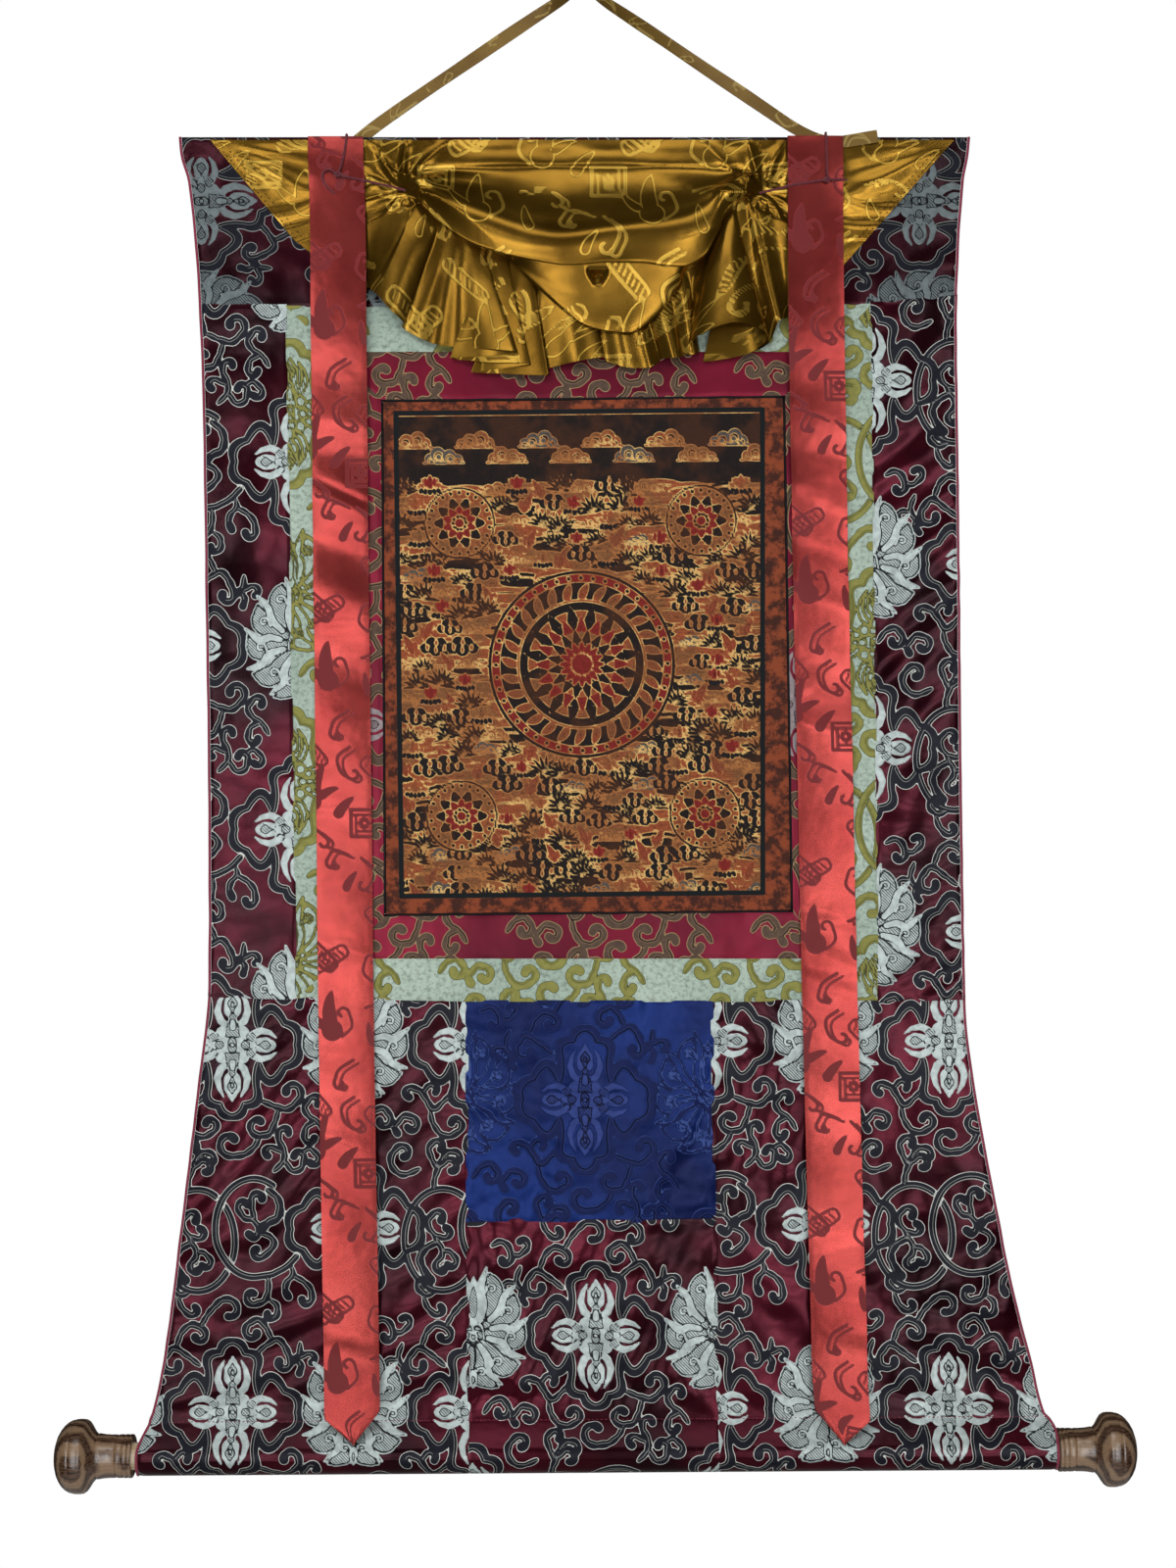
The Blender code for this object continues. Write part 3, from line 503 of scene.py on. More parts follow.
paint = Finish("mineral_paint", Roughness=0.6, Specular_IOR_Level=0.08)
cloth = paint.cloth()
patches = paint.noise(cloth, 24.0, 3.0, 0.6)
speckle = paint.noise(cloth, 420.0, 3.0, 0.7)
tint, sign = paint.number("tint"), paint.number("leaf")
crimson_share, slate_share = paint.between(tint, 0.2, 0.9), paint.between(tint, -0.9, -0.2, 1.0, 0.0)
light = paint.mix(paint.between(patches, 0.38, 0.6), colour(178, 92, 56), colour(148, 98, 60))
light = paint.mix(crimson_share, light, colour(150, 44, 40))
light = paint.mix(slate_share, light, colour(96, 92, 86))
dark = paint.mix(paint.between(patches, 0.42, 0.62), colour(24, 26, 28), colour(74, 46, 32))
dark = paint.mix(crimson_share, dark, colour(78, 20, 24))
dark = paint.mix(slate_share, dark, colour(24, 30, 34))
base = paint.mix(paint.between(sign, -0.2, 0.2), dark, light)
base = paint.mix(paint.between(speckle, 0.36, 0.66, 0.0, 0.45), base, colour(54, 34, 26))
hairline = paint.between(paint.math("SINE", paint.times(sign, 4.4)), 0.5, 0.95)
hairline = paint.times(hairline, paint.between(paint.math("ABSOLUTE", sign), 0.9, 1.2, 0.0, 0.6))
base = paint.mix(hairline, base, colour(46, 28, 22))
gilt = paint.between(paint.math("ABSOLUTE", sign), 0.2, 0.5, 1.0, 0.0)
gilt = paint.times(gilt, paint.between(speckle, 0.34, 0.5, 0.2, 1.0))
gold_line = paint.mix(paint.between(patches, 0.42, 0.56), colour(238, 194, 120), colour(180, 116, 66))
base = paint.mix(gilt, base, gold_line)
inside = paint.number("border")
worn = paint.between(paint.noise(cloth, 70.0, 3.0, 0.7), 0.4, 0.6)
rust = paint.mix(worn, colour(150, 74, 46), colour(72, 40, 32))
base = paint.mix(paint.between(inside, -0.2, 0.2, 1.0, 0.0), base, rust)
base = paint.mix(paint.stripe(inside, -0.3, 0.3, 4.6, 5.2), base, colour(26, 30, 32))
base = paint.mix(paint.number("reverse"), base, colour(196, 186, 166))
weave = paint.shared(threads, Place=cloth, **{"Per Metre": 1500.0})
height = paint.math("ADD", weave["Height"], paint.times(gilt, 0.8))
hand_over(painting, paint.put(Base_Color=base, Normal=paint.bump(height, 0.00008, 0.6)),
          "painted_canvas", "painting")

# ----------------------------------------
# The black piping: a satin strip folded over a cord, and sewn between the canvas and its crimson
# band on all four sides.
# ----------------------------------------
def cord_mesh(name, path, radius, sides, twist=0.0):
    """A closed cord along a path of points (x, forward, z), round, or of three twisted strands."""
    path = np.array([(x, -f, z) for x, f, z in path], float)
    ahead = np.gradient(path, axis=0)
    ahead /= np.linalg.norm(ahead, axis=1, keepdims=True)
    length = np.concatenate([[0], np.cumsum(np.linalg.norm(np.diff(path, axis=0), axis=1))])
    side = np.cross(ahead[0], (0.0, -1.0, 0.03))
    verts, uvs = [], []
    for k, (place, along) in enumerate(zip(path, ahead)):
        side = side - along * side.dot(along)
        side /= np.linalg.norm(side)
        up = np.cross(along, side)
        for n in range(sides):
            a = 2 * math.pi * n / sides
            r = radius * (1 + (0.13 * math.cos(3 * a - length[k] * twist) if twist else 0.0))
            verts.append(place + r * (math.cos(a) * side + math.sin(a) * up))
            uvs.append((n / sides, length[k] * MM))
    rings = len(path)
    verts += [path[0], path[-1]]
    uvs += [(0.5, 0.0), (0.5, length[-1] * MM)]
    faces = []
    for k in range(rings - 1):
        for n in range(sides):
            m = (n + 1) % sides
            faces.append((k * sides + n, k * sides + m, (k + 1) * sides + m, (k + 1) * sides + n))
    for n in range(sides):
        m = (n + 1) % sides
        faces.append((rings * sides, m, n))
        faces.append((rings * sides + 1, (rings - 1) * sides + n, (rings - 1) * sides + m))
    mesh = bpy.data.meshes.new(name)
    mesh.from_pydata([tuple(v * MM) for v in np.array(verts)], [], faces)
    layer = mesh.uv_layers.new(name="cloth")
    for loop in mesh.loops:
        layer.data[loop.index].uv = uvs[loop.vertex_index]
    work = bmesh.new()
    work.from_mesh(mesh)
    bmesh.ops.recalc_face_normals(work, faces=work.faces)
    work.to_mesh(mesh)
    work.free()
    mesh.shade_smooth()
    return placed(name, mesh)


black = Finish("black_satin", Roughness=0.5, Specular_IOR_Level=0.15)
cloth = black.cloth()
weave = black.shared(threads, Place=cloth, **{"Per Metre": 1400.0})
black.put(Base_Color=black.mix(weave["Tone"], colour(6, 6, 9), colour(22, 22, 27)),
          Normal=black.bump(weave["Height"], 0.0001, 0.5))
for side, (a, b) in {"top": (0, 1), "right": (1, 2), "bottom": (2, 3), "left": (3, 0)}.items():
    start, end = np.array(PIPING_LINE[a]), np.array(PIPING_LINE[b])
    along = (end - start) / np.linalg.norm(end - start)
    keep = PIPING / 2 + 0.15 if side in ("left", "right") else -PIPING / 2
    route = []
    for k in range(61):
        px, pz = start + along * keep + (end - start - 2 * along * keep) * k / 60
        route.append((px, float(swell(px, pz)) + 0.12 * math.sin(k * 1.7), pz + 0.15 * math.sin(k * 0.9)))
    cord = cord_mesh(f"cord_edging_{side}", route, PIPING / 2, 10)
    hand_over(cord, black.material, "black_piping", f"piping_{side}")

# ----------------------------------------
# The brocade: one woven repeat, of a four-lobed cloud frame round a crossed sceptre, a lotus,
# interlocked rings and curling clouds, which the mount's makers cut in four colourings.
# ----------------------------------------
UNIT = 0.957                 # millimetres to one step of the brocade's chart
brocade = Chart(250.0, 375.0, 1.0)


def between_points(a, b, c, d, t):
    """A place on the smooth curve from b to c, with a before them and d after."""
    return 0.5 * (2 * b + (c - a) * t + (2 * a - 5 * b + 4 * c - d) * t * t
                  + (3 * b - a - 3 * c + d) * t ** 3)


def through(points, step=2.0):
    """A smooth line through a few points."""
    points = [np.asarray(p, float) for p in points]
    if len(points) == 2:
        count = max(2, int(np.linalg.norm(points[1] - points[0]) / step))
        return [points[0] + (points[1] - points[0]) * k / count for k in range(count + 1)]
    ends = [2 * points[0] - points[1]] + points + [2 * points[-1] - points[-2]]
    line = []
    for a, b, c, d in zip(ends, ends[1:], ends[2:], ends[3:]):
        count = max(1, int(np.linalg.norm(c - b) / step))
        line += [between_points(a, b, c, d, k / count) for k in range(count)]
    return line + [points[-1]]


def curled(points, curl=0, radius=7.0, turns=0.62, step=1.6):
    """A smooth line whose end winds up, clockwise for 1 and the other way for -1."""
    line = through(points, step)
    if not curl:
        return np.array(line)
    place = line[-1].copy()
    ahead = line[-1] - line[-2]
    heading = math.atan2(ahead[1], ahead[0])
    wound, r = 0.0, radius
    while wound < turns * 2 * math.pi:
        heading += curl * step / r
        wound += step / r
        r = radius * (1 - 0.5 * wound / (turns * 2 * math.pi))
        place = place + step * np.array([math.cos(heading), math.sin(heading)])
        line.append(place)
    return np.array(line)


def bowed(rows):
    """A line of bowed pieces, each row its start and how far it bows to the left, by its length,
    and how much it swells at each point, most in the middle of a piece."""
    line, swelling = [], []
    for (ax, ay, bow), (bx, by, _) in zip(rows, rows[1:]):
        dx, dy = bx - ax, by - ay
        count = max(2, int(math.hypot(dx, dy) / 1.6))
        for k in range(count):
            t = k / count
            out = 4 * bow * t * (1 - t)
            line.append((ax + dx * t + dy * out, ay + dy * t - dx * out))
            swelling.append(math.sin(math.pi * t) * min(abs(bow) * 4, 1))
    return np.array(line + [rows[-1][:2]]), np.array(swelling + [0.3])


def ring(x, y, rx, ry, start=0.0, sweep=360.0):
    angles = np.radians(start + sweep * np.linspace(0, 1, max(9, int(abs(sweep) * rx / 60))))
    return np.stack([x + rx * np.cos(angles), y + ry * np.sin(angles)], axis=1)


# The cloud frame, a quarter of it: x, y, bow
FRAME_QUARTER = ((0, -73, 0.22), (12.5, -61, 0.36), (25, -44, -0.05), (26.5, -20, 0.60), (53, -22, 0.28),
                 (66, 0, 0))


def cloud_frame(cx, cy):
    quarter, swelling = bowed(FRAME_QUARTER)
    for sx in (1, -1):
        for sy in (1, -1):
            brocade.draw("band", quarter * (sx, sy) + (cx, cy), 3.9 + 1.3 * swelling, inner=-sx * sy)


def sceptre(cx, cy):
    """Two crossed sceptres: leaves, horns beside them, and a jewelled middle."""
    def shape(points, half, sign=1):
        brocade.inlay(np.array(points, float) + (cx, cy), np.array(half) + 0.5, -sign)
        brocade.inlay(np.array(points, float) + (cx, cy), half, sign)
    for s in (1, -1):
        for r in (1, -1):
            shape([(r * 8.5, s * 53), (r * 13.5, s * 44), (r * 15.5, s * 34), (r * 12, s * 24.5),
                   (r * 5, s * 19)], (0.3, 1.9, 2.9, 3.2, 2.2))
            shape([(s * 45, r * 7.5), (s * 38, r * 12.5), (s * 29, r * 14.5), (s * 22, r * 11.5),
                   (s * 16, r * 5.5)], (0.3, 1.8, 2.8, 3.0, 2.2))
            shape([(r * 10.5, s * 12.5), (r * 11, s * 12.5)], 5.4)
            shape([(r * 18.5, s * 7.5), (r * 19, s * 7.5)], 4.2, -1)
        shape([(0, s * 57), (0, s * 50), (0, s * 43), (0, s * 36), (0, s * 28)], (0.4, 4.2, 7.8, 8.2, 3.4))
        shape([(0, s * 49), (0, s * 42), (0, s * 34)], (0.6, 4.6, 1.0), -1)
        shape([(0, s * 43), (0, s * 40)], (1.0, 1.6))
        shape([(s * 44, 0), (s * 39, 0), (s * 34, 0), (s * 29, 0), (s * 24, 0)], (0.4, 4.8, 7.2, 6.6, 3.0))
        shape([(s * 39, 0), (s * 34, 0), (s * 28, 0)], (0.4, 4.0, 0.8), -1)
    shape([(0, -29), (0, -20), (0, 0), (0, 20), (0, 29)], (2.6, 5.4, 8.0, 5.4, 2.6), -1)
    shape([(-22, 0), (-14, 0), (0, 0), (14, 0), (22, 0)], (2.8, 5.8, 8.6, 5.8, 2.8))
    for s in (1, -1):
        shape([(s * 12.5, 0), (s * 14, 0)], 3.4, -1)
        shape([(0, s * 18), (0, s * 24)], (3.4, 2.4))
    shape([(0, -3), (0, 3)], 3.9, -1)
    shape([(-0.1, 0), (0.1, 0)], 2.0)


# Half a lotus, mirrored: points of each petal's spine, half widths, 1 for smooth and -1 for hatched
LOTUS_PETALS = (
    (((5, -14), (14, -30), (18, -43), (15, -57)), (7.0, 9.5, 10.0, 2.0), -1),
    (((5, -12), (9, -28), (7, -44), (12, -64)), (3.6, 4.2, 3.6, 0.4), 1),
    (((13, -9), (24, -15), (33, -22), (37, -38)), (6.0, 9.0, 10.0, 1.6), -1),
    (((15, -14), (24, -24), (28, -36), (38, -47)), (2.8, 4.0, 3.4, 0.4), 1),
    (((14, -1), (26, 2), (37, 3), (46, -9)), (6.0, 9.0, 10.0, 1.6), -1),
    (((17, -6), (27, -8), (36, -5), (49, -16)), (2.8, 3.8, 3.4, 0.4), 1),
    (((8, 10), (17, 20), (27, 29), (41, 27)), (7.0, 9.5, 9.5, 1.6), -1),
    (((14, 3), (27, 8), (34, 18), (47, 22)), (2.8, 4.2, 3.6, 0.4), 1),
    (((4, 14), (6, 28), (9, 41), (22, 48)), (6.5, 8.0, 8.0, 1.4), -1),
    (((6, 10), (13, 22), (14, 35), (26, 46)), (3.0, 4.2, 3.6, 0.4), 1),
)


def lotus(cx, cy):
    """A lotus of smooth and hatched petals, with curls on them, a bud above and a foot."""
    brocade.inlay([(cx, cy - 8), (cx, cy + 9)], 11.5, -1)
    for side in (1, -1):
        for spine, half, sign in LOTUS_PETALS:
            path = np.array(through([(cx + side * 1.12 * x, cy + 1.08 * y) for x, y in spine], 3.0))
            half = np.interp(np.linspace(0, 1, len(path)), np.linspace(0, 1, len(half)), half)
            if sign < 0:
                half = half + 1.1 * np.abs(np.sin(0.62 * np.arange(len(path)))) * (half > 4)
            brocade.inlay(path, half + 0.9, -1)
            brocade.inlay(path, half, 1)
            if sign < 0:
                brocade.inlay(path, np.maximum(half - 1.5, 0.1), -1)
        for x, y in ((17, -42), (32, -21), (35, 3), (23, 27), (8, 36)):
            at_x, at_y = cx + side * (1.12 * x - 6.0), cy + 1.08 * y
            path = curled([(at_x - side, at_y + 3), (at_x + side, at_y - 3)], side, 4.8, 0.75, 0.9)
            brocade.inlay(path, 1.5, 1)
        path = curled([(cx + side * 11, cy + 4), (cx + side * 9, cy - 7)], -side, 5.0, 0.8, 0.9)
        brocade.inlay(path, 1.2, 1)
    for start, end, wide, sign in ((-14, -60, 8.0, 1), (-20, -50, 4.0, -1), (38, 54, 4.6, 1),
                                   (42, 50, 1.6, -1)):
        path = [(cx, cy + start + (end - start) * t) for t in np.linspace(0, 1, 6)]
        brocade.inlay(path, wide * np.array((0.6, 0.95, 1.0, 0.85, 0.5, 0.08)), sign)
    brocade.inlay([(cx - 0.1, cy + 2), (cx + 0.1, cy + 2)], 5.0, 1)
    brocade.inlay([(cx - 0.1, cy + 2), (cx + 0.1, cy + 2)], 2.2, -1)


# Curling clouds round the frame, then in and round the rings: half width, curl, its radius, path
CLOUDS = (
    (3.6, -1, 11, ((-34, -48), (-47, -58), (-60, -66), (-69, -57))),
    (3.6, 1, 8, ((-57, -69), (-51, -83), (-41, -90), (-31, -86))),
    (3.6, 1, 13, ((-32, -89), (-24, -102), (-14, -113))),
    (3.6, 1, 8, ((25, -61), (34, -69), (46, -75), (54, -66), (59, -54))),
    (3.6, -1, 9, ((40, -76), (34, -88), (26, -95), (17, -91))),
    (3.0, 0, 0, ((69, -71), (68, -60), (61, -52))),
    (3.0, 1, 7, ((67, -55), (75, -60))),
    (3.0, 0, 0, ((66, -54), (70, -48), (68, -40))),
    (3.0, 0, 0, ((-77, -70), (-81, -58), (-79, -49), (-70, -42))),
    (3.0, -1, 7, ((-81, -52), (-87, -54))),
    (3.0, 0, 0, ((-77, -45), (-76, -38), (-72, -32))),
    (3.6, -1, 7, ((-27, 50), (-36, 59), (-45, 66), (-52, 57), (-58, 48), (-66, 44))),
    (3.2, 1, 7, ((-56, 49), (-52, 43))),
    (3.6, -1, 8, ((-48, 69), (-46, 79), (-38, 91), (-28, 93), (-19, 88))),
    (3.8, -1, 11, ((31, 57), (45, 63), (57, 65), (67, 57))),
    (3.6, 1, 10, ((47, 67), (44, 78), (38, 90), (28, 92))),
    (3.8, 1, 13, ((28, 94), (23, 103), (13, 111), (1, 113))),
    (3.4, 1, 7, ((-41, 128), (-38, 119), (-32, 110), (-24, 109))),
    (3.4, 1, 7, ((-41, 128), (-47, 116), (-50, 106), (-46, 100))),
    (3.4, 1, 7, ((43, 128), (52, 118), (53, 108), (48, 98), (47, 91))),
    (3.2, -1, 7, ((50, 109), (42, 104))),
    (3.4, -1, 7, ((54, 118), (61, 128), (70, 126), (73, 116))),
    (3.2, 1, 7, ((69, 111), (78, 106), (86, 112))),
    (3.6, 1, 8, ((-114, 79), (-107, 69), (-97, 65), (-90, 72))),
    (3.0, 0, 0, ((-88, 74), (-86, 84), (-82, 91))),
    (3.6, 1, 8, ((-84, 83), (-76, 73), (-67, 74))),
    (3.6, 1, 8, ((-60, 127), (-68, 131), (-78, 133), (-87, 126), (-89, 115), (-83, 106))),
    (3.4, 1, 7, ((94, 90), (88, 80), (78, 73), (73, 64), (78, 55))),
    (3.4, -1, 7, ((86, 78), (76, 83), (73, 92))),
    (3.6, 1, 7, ((-106, -91), (-98, -95), (-90, -91), (-86, -81))),
    (3.2, -1, 7, ((-88, -83), (-79, -81), (-71, -87))),
    (3.6, 1, 8, ((-45, -228), (-44, -238), (-40, -249), (-33, -256))),
    (3.6, 1, 8, ((37, -137), (37, -126), (33, -115), (24, -111))),
    (3.4, 1, 7, ((39, -115), (45, -110), (46, -102))),
    (3.2, 0, 0, ((61, -148), (62, -141), (56, -134), (54, -126), (57, -118))),
    (3.4, 1, 7, ((63, -140), (72, -135), (79, -127), (81, -117))),
    (3.6, 1, 7, ((-44, -123), (-52, -120), (-59, -124))),
    (3.4, -1, 7, ((-55, -117), (-52, -108), (-46, -101))),
    (4.2, 0, 0, ((-41, -174), (-53, -167), (-59, -157), (-56, -146), (-48, -135))),
    (3.4, 1, 7, ((-41, -172), (-44, -181), (-50, -188), (-50, -197), (-45, -203))),
    (3.4, -1, 7, ((-44, -181), (-36, -178))),
    (3.4, -1, 7, ((-41, -174), (-37, -167), (-37, -159), (-42, -153))),
    (3.2, 1, 7, ((-37, -164), (-29, -164), (-23, -158))),
    (3.4, 1, 7, ((29, -188), (21, -197), (13, -199), (7, -207))),
    (3.4, 1, 7, ((23, -197), (20, -210), (20, -219))),
    (3.4, 0, 0, ((29, -190), (24, -179), (17, -183))),
    (3.6, 1, 7, ((29, -184), (38, -181), (43, -173), (38, -165), (31, -159))),
    (4.2, 0, 0, ((36, -228), (46, -220), (49, -209), (46, -199), (38, -195), (29, -188))),
)
for cx, cy in ((0, 0), (125, -187.5)):
    cloud_frame(cx, cy)
    sceptre(cx, cy)
lotus(125, 0)
brocade.draw("band", ring(-36, -176, 39, 52), 3.5, inner=-1)
arc = np.concatenate([ring(22, -189, 39, 50, 300, -215), through([(41, -141.5), (55, -149), (65, -159)])])
brocade.draw("band", arc, 3.5, inner=1, over=1.6)
for half, curl, radius, path in CLOUDS:
    line = curled(path, curl, radius, 0.62 if radius > 7 else 0.5)
    run = np.linspace(0, 1, len(line))
    lobes = np.abs(np.sin(np.arange(len(line)) * 1.6 * math.pi / 11.0))
    knob = np.exp(-((1 - run) * len(line) / 4.5) ** 2)
    width = half * (0.62 + 0.3 * np.sin(run * math.pi * 0.8)) + 0.9 * lobes + 1.2 * knob
    brocade.draw("band", line, width, inner=-(curl or 1), plain=4)


def woven_marks(x, z, centre, turned=False, lined_from=math.inf):
    """Reads the brocade's chart for a piece cut with a cloud frame at a given centre. The turned
    cloth is joined behind the veil. Flowers further than lined_from to either side are only lines."""
    u, v = (x - centre[0]) / UNIT, (centre[1] - z) / UNIT
    if turned:
        u, v = v, -(u + 17.3 * (x > 0))
    marks = {name: brocade.read(name, u, v) * UNIT for name in ("band", "lane", "pale", "leaf")}
    lines = np.minimum(np.abs(marks["pale"] + 1.2), np.abs(marks["leaf"])) - 0.8
    lines = np.maximum(lines, marks["pale"] - 0.6)
    beside = np.abs(x - centre[0]) > lined_from
    marks["band"] = np.where(beside, np.minimum(marks["band"], lines), marks["band"])
    marks["pale"] = np.where(beside, 9.0, marks["pale"])
    return marks


# Masks of the woven motifs: the band's body, the black and silver lines along its inner edge, the
# pale motif, the dark lines and hatching on it, and how high all of it stands off the satin
make, given, result = group_of("woven_motifs",
                               {"Band": 9.0, "Lane": 9.0, "Pale": 9.0, "Leaf": 9.0, "Place": None},
                               ("Body", "Black", "Silver", "Pale", "Dark", "Height"))
body = make.between(given["Band"], -0.3, 0.1, 1.0, 0.0)
edge = make.stripe(given["Band"], -0.45, -0.15, 0.1, 0.4)
black = make.times(make.stripe(given["Lane"], 1.0, 1.4, 1.9, 2.2), body)
thread = make.times(make.stripe(given["Lane"], 2.2, 2.5, 2.8, 3.1), body)
pale = make.between(given["Pale"], -0.2, 0.4, 1.0, 0.0)
split = make.add("ShaderNodeSeparateXYZ", Vector=given["Place"]).outputs
diagonal = make.math("SINE", make.times(make.math("ADD", split["X"], split["Y"]), 2100.0))
hatching = make.times(make.between(diagonal, -0.1, 0.5),
                     make.between(given["Leaf"], -0.9, -0.3, 0.8, 0.0))
drawn = make.times(make.between(make.math("ABSOLUTE", given["Leaf"]), 0.2, 0.5, 1.0, 0.0),
                  make.between(given["Pale"], -1.2, -0.6, 1.0, 0.0))
dark = make.times(make.math("MAXIMUM", drawn, hatching), pale)
silver = make.math("MAXIMUM", edge, make.times(thread, 0.35))
for title, value in (("Body", body), ("Black", black), ("Silver", silver), ("Pale", pale), ("Dark", dark)):
    make.feed(result, title, value)
raised = make.math("MAXIMUM", make.between(given["Band"], -0.9, 0.8, 1.0, 0.0),
                   make.between(given["Pale"], -0.9, 0.5, 1.0, 0.0))
sunk = make.times(make.math("MAXIMUM", dark, black), 0.5)
make.feed(result, "Height", make.math("SUBTRACT", raised, sunk))
woven_motifs = make.tree


def brocade_finish(name, colouring, gloss, metal, relief=0.0003, crinkle_shade_share=0.12):
    """Satin with woven motifs, in the colours of its ground, its darker ground for broad patches of
    painted shade, the band and its black and silver lines, the pale motif, its dark lines, and the back."""
    ground, ground_dark, band, black, silver, pale, dark, reverse = (colour(*seen) for seen in colouring)
    made = Finish(name, Specular_IOR_Level=0.14)
    cloth = made.cloth()
    marks = {name: made.number(name.lower()) for name in ("Band", "Lane", "Pale", "Leaf")}
    seen = made.shared(woven_motifs, Place=cloth, **marks)
    weave = made.shared(threads, Place=cloth, **{"Per Metre": 1900.0})
    # Broad random patches towards the darker ground: painted shade
    drift = made.noise(made.place(), 7.0, 3.0, 0.6)
    base = made.mix(made.between(drift, 0.3, 0.7), ground_dark, ground)
    base = made.mix(made.times(weave["Tone"], 0.3), base, ground_dark)
    # Fine random dark patches: painted shade of small crinkles in the cloth
    painted_crinkle_shade = made.between(made.noise(cloth, 210.0, 4.0, 0.7), 0.42, 0.68, 0.0, crinkle_shade_share)
    base = made.mix(painted_crinkle_shade, base, dark)
    mottle = made.between(made.noise(cloth, 160.0, 2.0), 0.35, 0.65)
    base = made.mix(seen["Body"], base, made.mix(mottle, band, made.mix(0.3, band, black)))
    base = made.mix(made.times(seen["Black"], 0.9), base, black)
    base = made.mix(seen["Silver"], base, silver)
    base = made.mix(seen["Pale"], base, made.mix(mottle, pale, made.mix(0.22, pale, dark)))
    base = made.mix(seen["Dark"], base, dark)
    base = made.mix(made.number("reverse"), base, reverse)
    motif = made.math("MAXIMUM", made.math("MAXIMUM", seen["Body"], seen["Silver"]), seen["Pale"])
    rough = made.math("MULTIPLY_ADD", motif, 0.2, gloss)
    height = made.math("MULTIPLY_ADD", weave["Height"], 0.03, seen["Height"])
    height = made.math("MULTIPLY_ADD", made.noise(made.place(), 26.0, 2.0), 5.0, height)
    return made.put(Base_Color=base, Roughness=rough, Normal=made.bump(height, relief, 0.8),
                    Metallic=made.math("MULTIPLY_ADD", motif, -0.6 * metal, metal))


maroon = brocade_finish("maroon_brocade",
                        ((80, 11, 30), (28, 3, 11), (27, 28, 39), (4, 4, 8), (214, 218, 212),
                         (198, 211, 209), (22, 24, 30), (112, 74, 78)), gloss=0.22, metal=0.5)
# The same cloth turned a quarter, in a darker copy of its colours: painted shade, as its silver
# threads lie across the light and catch less of it
maroon_shaded = brocade_finish("maroon_brocade_shaded",
                               ((62, 8, 24), (24, 3, 10), (22, 23, 34), (4, 4, 8), (150, 154, 150),
                                (112, 122, 124), (12, 13, 18), (112, 74, 78)), gloss=0.22, metal=0.5)

# ----------------------------------------
# Two frames of brocade strips round the canvas, crimson inside and grey-green outside. The strips
# are mitred at the corners, and their seams draw them up a little.
# ----------------------------------------
GREEN_OUTER = ((-290, -311), (283, -309), (290, -989), (-279.5, -987))
GREEN_INNER = ((-245, -356), (239, -356), (247, -948.5), (-237, -948.5))
SKIRT_SEAM = ((-380, -984), (-279.5, -987.3), (-112, -990.5), (127, -991), (290, -989.3), (380, -987))
crimson = brocade_finish("crimson_brocade",
                         ((134, 22, 50), (92, 14, 36), (96, 76, 62), (36, 16, 24), (170, 148, 104),
                          (160, 148, 150), (56, 34, 42), (140, 90, 100)), gloss=0.3, metal=0.35)
green = brocade_finish("green_brocade",
                       ((190, 208, 192), (166, 186, 172), (156, 154, 82), (100, 102, 52), (82, 84, 44),
                        (128, 138, 98), (58, 66, 48), (150, 156, 146)), gloss=0.4, metal=0.1, crinkle_shade_share=0.5)
BROCADE_THICK = 1.4
piping_outer = []
for corner in PIPING_LINE:
    outward = np.sign(np.array(corner) - (2.0, -650.0))
    piping_outer.append(tuple(np.array(corner) + outward * (PIPING / 2 - 0.7)))
# Each frame's colour, outer and inner corners, finish, the middle of a cloud frame on each strip,
# and how far aside its flowers turn into lines: nowhere on the crimson, everywhere on the green
FRAMES = (("crimson", GREEN_INNER, piping_outer, crimson,
           {"top": (20.0, -299.0), "right": (214.0, -700.0),
            "bottom": (36.0, -846.0), "left": (-236.0, -720.0)}, math.inf),
          ("green", GREEN_OUTER, GREEN_INNER, green,
           {"top": (-60.0, -252.0), "right": (286.0, -640.0),
            "bottom": (-30.0, -886.0), "left": (-405.0, -955.0)}, -1.0))
for tint, outer, inner, material, centres, lined_from in FRAMES:
    (a, b, c, d), (e, f, g, h) = outer, inner
    strips = {"top": (a, b, f, e), "right": (f, b, c, g), "bottom": (h, g, c, d), "left": (a, e, h, d)}
    for side, corners in strips.items():
        tall = side in ("left", "right")
        if tall:
            middle = np.mean([z for x, z in corners])
            corners = [(x, z + math.copysign(0.6, z - middle)) for x, z in corners]
        x, z, s, t = four_sided(corners, 24 if tall else 280, 320 if tall else 24)
        if (tint, side) == ("green", "bottom"):
            z = z + t * (np.interp(x, *zip(*SKIRT_SEAM)) - z[-1])
        from_seam = np.minimum(s, 1 - s) if tall else np.minimum(t, 1 - t)
        pucker = 0.35 * np.sin((z if tall else x) / 9.0 + 2.0) * np.exp(-from_seam * 5)
        strip = woven_piece(f"{tint}_band_{side}", x, swell(x, z) + pucker, z, BROCADE_THICK, (x, z),
                            woven_marks(x, z, centres[side], lined_from=lined_from))
        hand_over(strip, material, f"{tint}_brocade", f"band_{tint}_{side}")
        _, over, across, down = np.array(corners) - corners[0]
        area = 0.5 * abs(np.cross(over, across) + np.cross(across, down)) * MM * MM

# ----------------------------------------
# The mount's brocade panels and the blue damask door let into the skirt, sewn edge to edge. They
# flare below the painting and are turned round the rod in a stitched pocket.
# ----------------------------------------
MOUNT_TOP = -146.0
HEADING_SEAM = ((-400, -311), (-290, -311), (283, -309), (380, -301))
